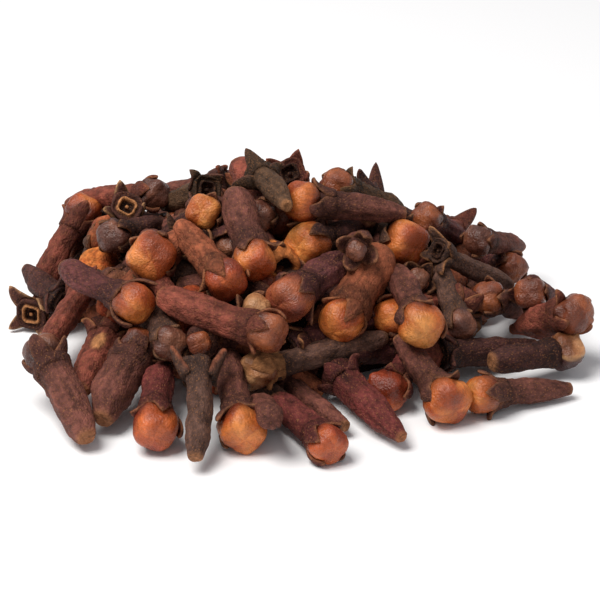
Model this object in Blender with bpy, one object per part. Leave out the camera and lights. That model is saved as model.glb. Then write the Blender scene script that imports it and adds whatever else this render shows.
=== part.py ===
"""A heap of whole dried cloves, as one solid: a low core with the cloves that show fused on.

The cloves that a picture of the heap shows are placed along its lines of sight. The back,
the sides and the gaps are filled by a seeded rule, and all of them settle on each other.
"""
import math
import random
from dataclasses import dataclass

import bmesh
import bpy
import numpy as np
from mathutils import Matrix, Vector

# Lengths are in millimetres, and become metres where a mesh is made
MM = 0.001
SEED = 11

# The view that the picture was taken from: 600 by 600 pixels, 8.5 pixels a millimetre at its aim
VIEW_ELEVATION = math.radians(25)
VIEW_DISTANCE = 260.0
VIEW_AIM = np.array((1.0, 0.0, 5.8))
PIXELS_PER_MM = 8.5
PICTURE_MIDDLE = 300.0
AHEAD = np.array((0.0, math.cos(VIEW_ELEVATION), -math.sin(VIEW_ELEVATION)))
UPWARD = np.array((0.0, math.sin(VIEW_ELEVATION), math.cos(VIEW_ELEVATION)))
ACROSS = np.array((1.0, 0.0, 0.0))
EYE = VIEW_AIM - VIEW_DISTANCE * AHEAD
FOCAL_PIXELS = PIXELS_PER_MM * VIEW_DISTANCE

# How far about its aim a line of sight is followed to find the skin, and in what steps
SEARCH_HALF = 50.0
SEARCH_STEP = 0.1
OVER_SKIN = 0.5

# The heap's skin: slopes that fall away from a short ridge, and a shoulder at the back left
RIDGE_FROM_X = -16.0
RIDGE_TO_X = 8.0
RIDGE_Y = 4.0
RIDGE_HEIGHT = 19.8
SLOPE_LEFT = 19.0
SLOPE_RIGHT = 26.0
SLOPE_FRONT = 27.0
SLOPE_BACK = 24.5
SLOPE_ROUNDING = 0.8
SHOULDER_X = -24.0
SHOULDER_Y = 10.0
SHOULDER_RADIUS = 10.0
SHOULDER_HEIGHT = 3.5

# The core is half of an ellipsoid
CORE_MIDDLE = np.array((-2.0, 3.5, 0.0))
CORE_HALF = np.array((23.0, 17.0, 14.5))
CORE_SIDES = 20

# Moves the heap, once it is laid out, so that its middle is over the origin
TO_CENTRE = np.array((-0.29, -1.37, 0.0))

# A clove's stem and head, for settling, are balls at these shares of its length
BALL_AT = np.array((0.04, 0.18, 0.32, 0.46, 0.60, 0.74, 0.88, 1.0))
STEM_TAPER = np.array((0.82, 0.92, 0.98, 1.0, 1.0, 1.0, 1.1))
OPEN_HEAD_TO_STEM = 1.25
OPEN_RIM = 0.4


@dataclass
class Seen:
    """A clove in the picture: pixels of its head, its foot and one sepal's tip, and sizes in mm.

    Its head lies on the skin, `sink` below it, or else one end is at a stated height.
    `lean` is 1 where the other end is farther from the eye, and -1 where it is nearer.
    """
    name: str
    kind: str
    head: tuple
    foot: tuple
    sepal: tuple
    length: float
    stem: float
    bud: float
    sink: float = 0.0
    head_high: float = None
    foot_high: float = None
    lean: int = 1


SEEN = (
    Seen("far left star", "open", (31, 313), (58, 288), (10, 284), 12.5, 1.55, 2.1, head_high=2.6),
    Seen("front left", "shut", (42, 354), (87, 440), (62, 336), 16.2, 1.95, 2.4, foot_high=1.7),
    Seen("left prop", "bud", (81, 208), (37, 286), (56, 208), 14.0, 1.5, 2.3, foot_high=3.0),
    Seen("left foot", "open", (64, 302), (30, 273), (80, 300), 11.5, 1.6, 2.1, foot_high=3.6, lean=-1),
    Seen("left arm", "bud", (131, 304), (58, 267), (106, 288), 14.5, 1.6, 2.5),
    Seen("left strut", "open", (90, 284), (47, 350), (95, 275), 14.0, 1.6, 2.1, foot_high=4.6),
    Seen("plump left", "shut", (142, 347), (101, 420), (122, 336), 14.0, 2.3, 2.5, foot_high=2.2),
    Seen("torn left", "open", (112, 330), (84, 392), (100, 326), 12.5, 1.8, 2.1, foot_high=3.0),
    Seen("back left", "shut", (155, 191), (70, 202), (158, 178), 14.5, 1.45, 2.0),
    Seen("high star", "open", (129, 208), (118, 256), (124, 186), 12.0, 1.6, 2.0),
    Seen("left globe", "bud", (154, 257), (152, 236), (133, 240), 14.0, 1.7, 2.8),
    Seen("diagonal", "bud", (225, 281), (177, 224), (198, 292), 14.5, 1.7, 2.5),
    Seen("plum stem", "shut", (236, 247), (194, 228), (246, 236), 13.0, 1.9, 2.2, sink=3.5),
    Seen("upright", "bud", (254, 259), (233, 190), (276, 243), 13.5, 1.9, 2.4, sink=0.5),
    Seen("ridge", "shut", (276, 224), (234, 166), (282, 214), 13.5, 1.7, 2.2, sink=3.0),
    Seen("top horn", "open", (257, 173), (285, 206), (243, 148), 12.0, 1.5, 2.0, lean=-1),
    Seen("top back", "open", (286, 173), (298, 206), (291, 158), 12.0, 1.6, 2.0, sink=2.5),
    Seen("top globe", "bud", (303, 203), (402, 218), (321, 179), 15.5, 1.6, 2.75),
    Seen("top right", "shut", (338, 181), (404, 212), (355, 163), 14.5, 1.4, 2.1, sink=1.5),
    Seen("olive", "open", (206, 187), (163, 203), (194, 174), 13.0, 1.5, 2.2, sink=1.5),
    Seen("yellow bud", "bud", (203, 214), (222, 222), (212, 199), 13.0, 1.6, 2.1, sink=2.0),
    Seen("under star", "open", (112, 236), (163, 222), (100, 225), 12.0, 1.6, 2.0, sink=3.5),
    Seen("middle bud", "bud", (307, 244), (362, 225), (287, 225), 13.5, 1.6, 2.5),
    Seen("middle star", "open", (357, 252), (345, 262), (338, 243), 12.0, 1.5, 2.1, sink=0.5),
    Seen("right globe", "bud", (404, 242), (344, 209), (413, 212), 14.0, 1.5, 2.8),
    Seen("plump middle", "bud", (341, 320), (381, 250), (322, 298), 14.5, 2.3, 2.6),
    Seen("purple bud", "bud", (290, 298), (343, 265), (312, 325), 13.5, 1.9, 2.75),
    Seen("hollow bud", "open", (278, 262), (262, 276), (298, 266), 12.0, 1.6, 2.3, sink=2.0),
    Seen("red bud", "bud", (258, 288), (246, 300), (252, 266), 12.5, 1.5, 2.0, sink=3.0),
    Seen("long left", "bud", (268, 333), (157, 298), (247, 352), 16.5, 1.8, 2.3),
    Seen("left cup", "open", (170, 345), (153, 306), (178, 326), 12.5, 1.7, 2.0),
    Seen("front bud", "bud", (160, 428), (167, 368), (135, 414), 14.0, 1.75, 2.6, head_high=2.7),
    Seen("fork", "open", (197, 368), (194, 464), (177, 350), 14.5, 1.4, 2.1, foot_high=1.4),
    Seen("square bud", "bud", (240, 427), (225, 354), (256, 397), 14.0, 1.8, 2.65, head_high=2.8),
    Seen("long grey", "open", (256, 371), (383, 336), (280, 388), 17.2, 1.5, 2.2, head_high=5.0),
    Seen("bright bud", "bud", (420, 325), (379, 275), (430, 297), 14.5, 1.65, 2.75),
    Seen("grey peg", "shut", (461, 324), (437, 257), (472, 304), 13.5, 1.35, 2.0),
    Seen("right cup", "open", (483, 300), (519, 320), (482, 278), 12.0, 1.6, 2.0),
    Seen("plump right", "shut", (574, 313), (512, 329), (554, 289), 13.0, 2.1, 2.3, head_high=7.0),
    Seen("cap right", "shut", (566, 357), (490, 369), (545, 340), 12.2, 1.6, 2.3, head_high=2.3, lean=-1),
    Seen("plum right", "open", (441, 358), (537, 349), (436, 370), 14.0, 1.6, 1.9, head_high=3.5),
    Seen("front right", "bud", (487, 394), (576, 390), (498, 421), 13.5, 1.45, 2.3, head_high=2.4),
    Seen("front globe", "bud", (447, 400), (396, 343), (453, 364), 14.5, 1.65, 2.75, head_high=2.8),
    Seen("red globe", "bud", (387, 392), (372, 348), (393, 361), 13.5, 1.6, 2.45, head_high=2.5),
    Seen("front tail", "open", (339, 373), (403, 436), (349, 364), 14.5, 1.75, 2.0, foot_high=1.6),
    Seen("front red", "bud", (330, 443), (274, 399), (343, 426), 14.0, 1.65, 2.2, head_high=2.3),
    Seen("front tan", "open", (291, 385), (344, 420), (283, 376), 13.0, 1.4, 2.0, foot_high=1.5),
    Seen("behind fork", "bud", (200, 342), (220, 330), (206, 358), 12.5, 1.7, 2.1, sink=2.5),
    Seen("dark body", "open", (262, 215), (274, 236), (250, 210), 12.0, 1.5, 2.0, sink=1.0),
    Seen("thin star", "open", (410, 282), (398, 296), (424, 265), 12.0, 1.4, 2.0, sink=2.5),
    Seen("grey arm", "open", (441, 245), (513, 280), (433, 228), 14.0, 1.25, 1.9),
    Seen("right back", "shut", (436, 218), (479, 245), (455, 206), 13.0, 1.45, 2.0, sink=1.0),
    Seen("right end", "shut", (514, 263), (470, 241), (524, 249), 13.0, 1.5, 1.9, sink=0.5),
    Seen("right ridge", "open", (478, 240), (521, 252), (479, 227), 12.5, 1.4, 1.9, sink=1.5),
    Seen("tan bud", "bud", (250, 312), (246, 326), (236, 306), 12.5, 1.5, 2.0, sink=2.0),
    Seen("front stub", "open", (270, 418), (258, 404), (262, 408), 12.0, 1.5, 1.9, foot_high=1.6, lean=-1),
)

# What the filling keeps clear of in the picture, in pixels: the floor that shows between cloves,
# and all that lies outside the heap's upper and lower outline. It goes at least BEHIND the
# cloves that it shares a place in the picture with. After settling, a filling clove that
# sticks out over the upper outline by more than OVER_OUTLINE, or lies in front of a clove of
# the picture by more than IN_FRONT, is left out.
BARE_PATCHES = {
    "inside the left prop": ((50, 62), (285, 322)),
    "left bay": ((66, 98), (335, 385)),
    "left notch": ((132, 148), (387, 403)),
    "beside the fork": ((204, 214), (412, 452)),
    "front bay": ((268, 298), (432, 452)),
    "front slit": ((357, 370), (378, 408)),
    "right bay": ((484, 532), (318, 342)),
}
UPPER_OUTLINE = ((9, 290), (22, 265), (60, 216), (160, 192), (235, 178), (370, 196), (455, 224), (585, 306))
LOWER_OUTLINE = ((9, 335), (100, 350), (200, 405), (345, 435), (420, 425), (585, 385))

OVER_OUTLINE = 20.0
COVERING = 0.7
BEHIND = 0.5
IN_FRONT = 1.5

# The filling lies in layers: how far under the skin, how far apart, how deep in others before
# it settles, and how steep at most, in degrees
FILL_LAYERS = (
    ("outer", 1.9, 3.2, 2.4, 30.0),
    ("middle", 4.8, 8.5, 1.5, 25.0),
)
FILL_TRIES = 5000
FILL_LIFT = 3.0
FILL_X = (-35.0, 35.0)
FILL_Y = (-25.0, 34.0)
FILL_BACK = 29.5
FILL_SIDE = 34.0
LEAST_TILT = -10.0
SLOPE_STEP = 0.5
FILL_LENGTH = (12.0, 15.5)
FILL_STEM = (1.35, 1.95)
FILL_BUD = (2.0, 2.7)
FILL_KINDS = ("bud", "bud", "shut", "open", "open")

# Settling, by many small steps. Cloves that overlap push each other apart, and those that
# aren't propped on the floor sink for the first part of the rounds.
SEEN_ROUNDS = 110
ALL_ROUNDS = 140
SINKING_ROUNDS = 0.7
SINK_STEP = 0.05
SINK_LIMIT = 2.0
NEAR_ENOUGH = 18.0
PUSH = 1.4
CORE_PUSH = 0.3
CORE_TOUCH = 0.97

# A clove of the picture gives way by this share to a filling one, moves aside by these shares
# of a push, and is drawn back to its line of sight, and to its place on it where it is propped
SEEN_GIVES_WAY = 0.1
HEAD_ASIDE = 0.1
FOOT_ASIDE = 0.35
BACK_TO_LINE = 0.25
BACK_TO_PLACE = 0.3
HEAD_MENDS = 0.15

# Each clove is joined to another by at least this depth
TOUCH = 0.55
NEAR_TOUCH = 0.05
PULL_TRIES = 8

# The clove's own form, with few sides, which stand out a little to keep its thickness.
# Its rings are at a share of the way from the foot or at a distance from the head, in
# millimetres for an open clove and in bud radii for one with a bud.
BODY_SIDES = {"seen": 6, "outer": 5, "middle": 5}
ROUND_TO_SIDES = 1.06
FOOT_WIDTH = 0.75
STEM_FULL_AT = 0.5
OPEN_NECK = 1.5
OPEN_RIM_WIDTH = 1.35
BUD_BASE = 1.05
BUD_WIDEST = 0.1
BUD_TOP = 0.8
BUD_TOP_WIDTH = 0.6
SEPAL_SIDES = 3
SEPAL_FLATNESS = 0.75
SEPAL_LENGTH = {"bud": 2.5, "shut": 2.2, "open": 2.9}
SEPAL_SPREAD = {"bud": 42.0, "shut": 38.0, "open": 60.0}
SEPAL_HALF_WIDTH = 1.0
SEPAL_UNDER_RIM = 1.2
SEPAL_UNDER_BUD = 0.95
SEPAL_ROOT = 0.55
TIP_MERGE = 0.002

# The block that cuts the underside flat
BLOCK_SIDE = 200.0
BLOCK_HEIGHT = 60.0

CLOVE_BROWN = (0.13, 0.045, 0.022, 1.0)
CLOVE_ROUGHNESS = 0.7


def skin_height(x, y):
    """The height that the cloves heap up to above a point of the floor."""
    left = np.maximum(RIDGE_FROM_X - x, 0.0) / SLOPE_LEFT
    right = np.maximum(x - RIDGE_TO_X, 0.0) / SLOPE_RIGHT
    front = np.maximum(RIDGE_Y - y, 0.0) / SLOPE_FRONT
    back = np.maximum(y - RIDGE_Y, 0.0) / SLOPE_BACK
    down = np.maximum(0.0, 1.0 - np.hypot(left + right, front + back))
    out = np.hypot(x - SHOULDER_X, y - SHOULDER_Y) / SHOULDER_RADIUS
    return RIDGE_HEIGHT * down ** SLOPE_ROUNDING + SHOULDER_HEIGHT * np.maximum(0.0, 1.0 - out * out)


def sight_line(pixel):
    """The direction from the eye through a pixel."""
    line = FOCAL_PIXELS * AHEAD
    line = line + (pixel[0] - PICTURE_MIDDLE) * ACROSS - (pixel[1] - PICTURE_MIDDLE) * UPWARD
    return line / np.linalg.norm(line)


def in_picture(points):
    """Each point's pixel, and its depth in front of the eye."""
    away = points - EYE
    depth = away @ AHEAD
    right = PICTURE_MIDDLE + FOCAL_PIXELS * (away @ ACROSS) / depth
    down = PICTURE_MIDDLE - FOCAL_PIXELS * (away @ UPWARD) / depth
    return right, down, depth


def at_height(pixel, height):
    line = sight_line(pixel)
    return EYE + line * (height - EYE[2]) / line[2]


def on_skin(pixel):
    """Where a line of sight first meets the skin, or where it passes closest over it."""
    line = sight_line(pixel)
    steps = np.arange(VIEW_DISTANCE - SEARCH_HALF, VIEW_DISTANCE + SEARCH_HALF, SEARCH_STEP)
    points = EYE + steps[:, None] * line
    above = points[:, 2] - skin_height(points[:, 0], points[:, 1]) - OVER_SKIN
    if (above <= 0.0).any():
        return points[int(np.argmax(above <= 0.0))]
    over_floor = points[:, 2] > 0.0
    return points[over_floor][int(np.argmin(above[over_floor]))]


@dataclass
class Clove:
    """A placed clove: `head` is the bud's middle or the open rim's, `foot` the stem's end."""
    kind: str
    head: np.ndarray
    foot: np.ndarray
    sepal: np.ndarray
    stem: float
    bud: float
    layer: str
    lines: tuple = None
    propped: bool = False

    @property
    def ball_radii(self):
        head = self.stem * OPEN_HEAD_TO_STEM if self.kind == "open" else self.bud
        return np.append(self.stem * STEM_TAPER, head)

    @property
    def balls(self):
        return self.foot + BALL_AT[:, None] * (self.head - self.foot)


def head_room(kind, bud):
    """From the head point to the clove's tip."""
    return OPEN_RIM if kind == "open" else bud


def place_seen(seen):
    """One end goes to its place on its line of sight, and the other to the clove's length from it."""
    head_line = sight_line(seen.head)
    foot_line = sight_line(seen.foot)
    if seen.foot_high is not None:
        start = at_height(seen.foot, seen.foot_high)
        line = head_line
    elif seen.head_high is not None:
        start = at_height(seen.head, seen.head_high)
        line = foot_line
    else:
        start = on_skin(seen.head) + seen.sink * head_line
        line = foot_line
    reach = seen.length - head_room(seen.kind, seen.bud)
    nearest = EYE + ((start - EYE) @ line) * line
    aside = np.linalg.norm(nearest - start)
    end = nearest + seen.lean * math.sqrt(max(reach * reach - aside * aside, 0.0)) * line
    head, foot = (end, start) if seen.foot_high is not None else (start, end)
    tip_depth = (head - EYE) @ AHEAD
    tip_line = sight_line(seen.sepal)
    sepal = EYE + tip_line * tip_depth / (tip_line @ AHEAD) - head
    propped = seen.head_high is not None or seen.foot_high is not None
    lines = (head_line, foot_line)
    return Clove(seen.kind, head, foot, sepal, seen.stem, seen.bud, "seen", lines, propped)


def draw_filling(draw, depth_under, steepest):
    """A clove that lies along the skin, somewhere, turned and tilted by chance."""
    x = draw.uniform(*FILL_X)
    y = draw.uniform(*FILL_Y)
    if skin_height(x, y) <= 0.0:
        return None
    slope_x = (skin_height(x + SLOPE_STEP, y) - skin_height(x - SLOPE_STEP, y)) / (2 * SLOPE_STEP)
    slope_y = (skin_height(x, y + SLOPE_STEP) - skin_height(x, y - SLOPE_STEP)) / (2 * SLOPE_STEP)
    normal = np.array((-slope_x, -slope_y, 1.0))
    normal /= np.linalg.norm(normal)
    turn = draw.uniform(0.0, 2 * math.pi)
    along = np.cross(normal, (math.cos(turn), math.sin(turn), 0.3))
    along /= np.linalg.norm(along)
    tilt = math.radians(draw.uniform(LEAST_TILT, steepest))
    way = along * math.cos(tilt) + normal * math.sin(tilt)
    kind = draw.choice(FILL_KINDS)
    bud = draw.uniform(*FILL_BUD)
    stem = draw.uniform(*FILL_STEM)
    half = 0.5 * (draw.uniform(*FILL_LENGTH) - head_room(kind, bud))
    middle = np.array((x, y, skin_height(x, y))) - depth_under * normal
    sepal = np.cross(way, (draw.uniform(-1, 1), draw.uniform(-1, 1), draw.uniform(-1, 1)))
    return Clove(kind, middle + half * way, middle - half * way, sepal, stem, bud, "fill")


def outside_footprint(clove):
    """Whether a filling clove reaches out too far at the back or at a side."""
    reach = np.abs(clove.balls[:, 0]) + clove.ball_radii
    return bool((reach > FILL_SIDE).any() or (clove.balls[:, 1] + clove.ball_radii > FILL_BACK).any())


def above_outline(clove):
    """How many pixels a clove rises over the heap's upper outline in the picture."""
    right, down, depth = in_picture(clove.balls)
    size = FOCAL_PIXELS * clove.ball_radii / depth
    return float((np.interp(right, *zip(*UPPER_OUTLINE)) - down + size).max())


def hides_seen(clove, seen_balls, seen_radii, nearer):
    """Whether a clove covers one of the picture's and is nearer to the eye by so much."""
    right, down, depth = in_picture(clove.balls)
    size = FOCAL_PIXELS * clove.ball_radii / depth
    other_right, other_down, other_depth = in_picture(seen_balls)
    other_size = FOCAL_PIXELS * seen_radii / other_depth
    apart = np.hypot(right[:, None] - other_right[None], down[:, None] - other_down[None])
    covers = apart < COVERING * (size[:, None] + other_size[None])
    return bool((covers & (depth[:, None] < other_depth[None] - nearer)).any())


def spoils_picture(clove, seen_balls, seen_radii):
    """Whether a filling clove would show where the picture has bare floor or another clove."""
    radii = clove.ball_radii
    right, down, depth = in_picture(clove.balls)
    size = FOCAL_PIXELS * radii / depth
    for columns, rows in BARE_PATCHES.values():
        over_columns = (right + size > columns[0]) & (right - size < columns[1])
        over_rows = (down + size > rows[0]) & (down - size < rows[1])
        if (over_columns & over_rows).any():
            return True
    lower = np.interp(right, *zip(*LOWER_OUTLINE))
    if above_outline(clove) > 0.0 or (down + size > lower).any():
        return True
    if (right - size < UPPER_OUTLINE[0][0]).any() or (right + size > UPPER_OUTLINE[-1][0]).any():
        return True
    return hides_seen(clove, seen_balls, seen_radii, -BEHIND)


def least_gap(clove, balls, radii):
    """The smallest gap between a clove's balls and others, negative where they overlap."""
    apart = np.linalg.norm(clove.balls[:, None] - balls[None], axis=2)
    return float((apart - clove.ball_radii[:, None] - radii[None]).min())


def stack_balls(cloves):
    return np.concatenate([c.balls for c in cloves]), np.concatenate([c.ball_radii for c in cloves])


def fill_heap(cloves):
    """Adds filling cloves layer by layer, where they fit between those that are there."""
    draw = random.Random(SEED)
    seen_balls, seen_radii = stack_balls(cloves)
    filled = list(cloves)
    for layer, depth_under, spacing, overlap, steepest in FILL_LAYERS:
        middles = []
        for _ in range(FILL_TRIES):
            clove = draw_filling(draw, depth_under, steepest)
            if clove is None:
                continue
            middle = 0.5 * (clove.head + clove.foot)
            if any(np.linalg.norm(middle - other) < spacing for other in middles):
                continue
            lift = max(0.0, float((clove.ball_radii - clove.balls[:, 2]).max()))
            if lift > FILL_LIFT or outside_footprint(clove):
                continue
            clove.head[2] += lift
            clove.foot[2] += lift
            if least_gap(clove, *stack_balls(filled)) < -overlap:
                continue
            if spoils_picture(clove, seen_balls, seen_radii):
                continue
            clove.layer = layer
            middles.append(middle)
            filled.append(clove)
    return filled


def settle(cloves, rounds):
    """Lets the cloves sink until they touch, and pushes them out of each other.

    The cloves of the picture sink along their lines of sight, the filling ones straight down.
    """
    heads = np.array([c.head for c in cloves])
    feet = np.array([c.foot for c in cloves])
    radii = np.array([c.ball_radii for c in cloves])
    reach = np.linalg.norm(heads - feet, axis=1)
    seen = np.array([c.lines is not None for c in cloves])
    down = np.array((0.0, 0.0, -1.0))
    head_lines = np.array([down if c.lines is None else c.lines[0] for c in cloves])
    foot_lines = np.array([down if c.lines is None else c.lines[1] for c in cloves])
    first_heads, first_feet = heads.copy(), feet.copy()
    free = np.array([not c.propped for c in cloves])[:, None]
    for turn in range(rounds):
        balls = feet[:, None] + BALL_AT[None, :, None] * (heads - feet)[:, None]
        middles = 0.5 * (heads + feet)
        close = np.linalg.norm(middles[:, None] - middles[None], axis=2) < NEAR_ENOUGH
        one, other = np.nonzero(np.triu(close, 1))
        gap = balls[one][:, :, None] - balls[other][:, None, :]
        far = np.linalg.norm(gap, axis=3) + 1e-9
        over = np.maximum(radii[one][:, :, None] + radii[other][:, None, :] - far, 0.0)
        push = gap * (over / far)[..., None]
        share = np.full(len(one), 0.5)
        share[seen[one] & ~seen[other]] = SEEN_GIVES_WAY
        share[~seen[one] & seen[other]] = 1.0 - SEEN_GIVES_WAY
        head_move = np.zeros_like(heads)
        foot_move = np.zeros_like(feet)
        touches = np.zeros(len(cloves))
        for who, sign, axis, part in ((one, 1.0, 2, share), (other, -1.0, 1, 1.0 - share)):
            each = sign * push.sum(axis=axis) * part[:, None, None]
            np.add.at(head_move, who, (each * BALL_AT[None, :, None]).sum(axis=1))
            np.add.at(foot_move, who, (each * (1.0 - BALL_AT)[None, :, None]).sum(axis=1))
            np.add.at(touches, who, (over > 0.0).any(axis=axis).sum(axis=1))
        ease = (PUSH / np.maximum(touches, 1.0))[:, None]
        for move, ends, start, lines, aside in (
            (head_move, heads, first_heads, head_lines, HEAD_ASIDE),
            (foot_move, feet, first_feet, foot_lines, FOOT_ASIDE),
        ):
            move *= ease
            along = (move * lines).sum(axis=1)[:, None] * lines
            drift = ends - start
            sunk = (drift * lines).sum(axis=1)[:, None]
            drift = drift - sunk * lines
            kept = along + aside * (move - along) - BACK_TO_LINE * drift
            kept -= np.where(free, 0.0, BACK_TO_PLACE) * sunk * lines
            move[seen] = kept[seen]
            sinking = free & (sunk < SINK_LIMIT) & (turn < SINKING_ROUNDS * rounds)
            ends += move + np.where(sinking, SINK_STEP, 0.0) * lines
            ratio = np.linalg.norm((ends - CORE_MIDDLE) / CORE_HALF, axis=1)[:, None]
            out = (ends - CORE_MIDDLE) * (1.0 / np.maximum(ratio, 0.1) - 1.0)
            ends += np.where(ratio < 1.0, CORE_PUSH * out, 0.0)
        way = heads - feet
        long = np.linalg.norm(way, axis=1)
        mend = ((reach - long) / long)[:, None] * way
        head_share = np.where(seen, HEAD_MENDS, 0.5)[:, None]
        heads += mend * head_share
        feet -= mend * (1.0 - head_share)
        heads[:, 2] = np.maximum(heads[:, 2], radii[:, -1])
        feet[:, 2] = np.maximum(feet[:, 2], radii[:, 0])
        # rounding keeps the outcome the same on any computer
        heads = np.round(heads, 6)
        feet = np.round(feet, 6)
    for clove, head, foot in zip(cloves, heads, feet):
        clove.head = head
        clove.foot = foot


def in_core(clove):
    ratio = np.linalg.norm((clove.balls - CORE_MIDDLE) / CORE_HALF, axis=1)
    return bool((ratio < CORE_TOUCH).any())


def pull_in(clove, balls, radii):
    """Moves a clove along its shortest gap to others, and up again where it sinks into the floor."""
    apart = clove.balls[:, None] - balls[None]
    far = np.linalg.norm(apart, axis=2)
    gap = far - clove.ball_radii[:, None] - radii[None]
    mine, theirs = np.unravel_index(int(np.argmin(gap)), gap.shape)
    shift = -apart[mine, theirs] / far[mine, theirs] * (gap[mine, theirs] + TOUCH)
    low = (clove.balls[:, 2] + shift[2] - clove.ball_radii)[[0, -1]].min()
    shift[2] += max(0.0, -low)
    clove.head = clove.head + shift
    clove.foot = clove.foot + shift


def attach(cloves):
    """Moves each clove, or group, that touches nothing up to the rest of the heap."""
    joined = [c for c in cloves if in_core(c)]
    loose = [c for c in cloves if not in_core(c)]
    while loose:
        balls, radii = stack_balls(joined)
        gaps = [least_gap(c, balls, radii) for c in loose]
        clove = loose.pop(int(np.argmin(gaps)))
        for _ in range(PULL_TRIES):
            if least_gap(clove, balls, radii) < NEAR_TOUCH - TOUCH:
                break
            pull_in(clove, balls, radii)
        joined.append(clove)


def lay_out_heap():
    """All the heap's cloves, at rest."""
    cloves = [place_seen(seen) for seen in SEEN]
    settle(cloves, SEEN_ROUNDS)
    cloves = fill_heap(cloves)
    settle(cloves, ALL_ROUNDS)
    balls, radii = stack_balls([c for c in cloves if c.layer == "seen"])
    cloves = [
        c for c in cloves
        if c.layer == "seen" or not (above_outline(c) > OVER_OUTLINE or hides_seen(c, balls, radii, IN_FRONT))
    ]
    attach(cloves)
    for clove in cloves:
        clove.head = clove.head + TO_CENTRE
        clove.foot = clove.foot + TO_CENTRE
    return cloves


def loft(name, rings, axis, side, sides):
    """A closed body through rings, each given by its middle and its radius."""
    across = np.cross(axis, side)
    mesh = bmesh.new()
    loops = []
    for middle, radius in rings:
        loop = []
        for k in range(sides):
            turn = 2 * math.pi * k / sides
            spot = middle + radius * (math.cos(turn) * side + math.sin(turn) * across)
            loop.append(mesh.verts.new(spot * MM))
        loops.append(loop)
    mesh.faces.new(loops[0][::-1])
    mesh.faces.new(loops[-1])
    for low, high in zip(loops, loops[1:]):
        for k in range(sides):
            after = (k + 1) % sides
            mesh.faces.new((low[k], low[after], high[after], high[k]))
    return finish_mesh(name, mesh)


def finish_mesh(name, mesh):
    data = bpy.data.meshes.new(name)
    mesh.to_mesh(data)
    mesh.free()
    return bpy.data.objects.new(name, data)


def clove_axes(clove):
    axis = (clove.head - clove.foot) / np.linalg.norm(clove.head - clove.foot)
    side = clove.sepal - (clove.sepal @ axis) * axis
    side /= np.linalg.norm(side)
    return axis, side


def clove_rings(clove):
    """The stem widens to the calyx, and the bud swells above it and closes."""
    axis, _ = clove_axes(clove)
    reach = np.linalg.norm(clove.head - clove.foot)
    stem = clove.stem * ROUND_TO_SIDES
    bud = clove.bud * ROUND_TO_SIDES
    levels = [(0.0, FOOT_WIDTH * stem), (STEM_FULL_AT * reach, stem)]
    if clove.kind == "open":
        levels += [(reach - OPEN_NECK, stem), (reach + OPEN_RIM, OPEN_RIM_WIDTH * stem)]
    else:
        levels += [
            (reach - BUD_BASE * clove.bud, stem),
            (reach - BUD_WIDEST * clove.bud, bud),
            (reach + BUD_TOP * clove.bud, BUD_TOP_WIDTH * bud),
        ]
    return [(clove.foot + level * axis, radius) for level, radius in levels]


def has_sepals(clove):
    """The filling's buds hide theirs, and so does its lower layer."""
    return clove.layer == "seen" or (clove.layer == "outer" and clove.kind == "open")


def make_sepal(clove, quarter):
    """One of the four teeth of the calyx, which lean outwards."""
    axis, side = clove_axes(clove)
    turn = math.radians(90.0 * quarter)
    outward = math.cos(turn) * side + math.sin(turn) * np.cross(axis, side)
    spread = math.radians(SEPAL_SPREAD[clove.kind])
    way = math.cos(spread) * axis + math.sin(spread) * outward
    reach = np.linalg.norm(clove.head - clove.foot)
    level = reach - (SEPAL_UNDER_RIM if clove.kind == "open" else SEPAL_UNDER_BUD * clove.bud)
    base = clove.foot + level * axis + SEPAL_ROOT * clove.stem * outward
    length = SEPAL_LENGTH[clove.kind] + (1.0 - SEPAL_ROOT) * clove.stem
    width = np.cross(way, outward)
    width /= np.linalg.norm(width)
    flat = np.cross(way, width)
    place = Matrix(np.column_stack((width, SEPAL_FLATNESS * flat, way)).tolist()).to_4x4()
    place.translation = Vector((base + 0.5 * length * way) * MM)
    mesh = bmesh.new()
    bmesh.ops.create_cone(
        mesh,
        cap_ends=True,
        segments=SEPAL_SIDES,
        radius1=SEPAL_HALF_WIDTH * MM,
        radius2=0.0,
        depth=length * MM,
        matrix=place,
    )
    bmesh.ops.remove_doubles(mesh, verts=mesh.verts, dist=TIP_MERGE * MM)
    bmesh.ops.recalc_face_normals(mesh, faces=mesh.faces)
    return finish_mesh("sepal", mesh)


def make_core():
    mesh = bmesh.new()
    bmesh.ops.create_uvsphere(mesh, u_segments=CORE_SIDES, v_segments=CORE_SIDES // 2, radius=1.0)
    for vertex in mesh.verts:
        vertex.co = Vector((TO_CENTRE + CORE_MIDDLE + CORE_HALF * np.array(vertex.co)) * MM)
    return finish_mesh("clove_heap", mesh)


def make_floor_block():
    """Everything above the floor, so that the underside is cut flat."""
    mesh = bmesh.new()
    bmesh.ops.create_cube(mesh, size=1.0)
    for vertex in mesh.verts:
        x, y, z = vertex.co
        vertex.co = Vector((x * BLOCK_SIDE, y * BLOCK_SIDE, (z + 0.5) * BLOCK_HEIGHT)) * MM
    return finish_mesh("above_floor", mesh)


def add_boolean(target, operation, solver, collection=None, cutter=None):
    modifier = target.modifiers.new(operation.title(), "BOOLEAN")
    modifier.operation = operation
    modifier.solver = solver
    if collection is not None:
        modifier.operand_type = "COLLECTION"
        modifier.collection = collection
    else:
        modifier.object = cutter


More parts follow.
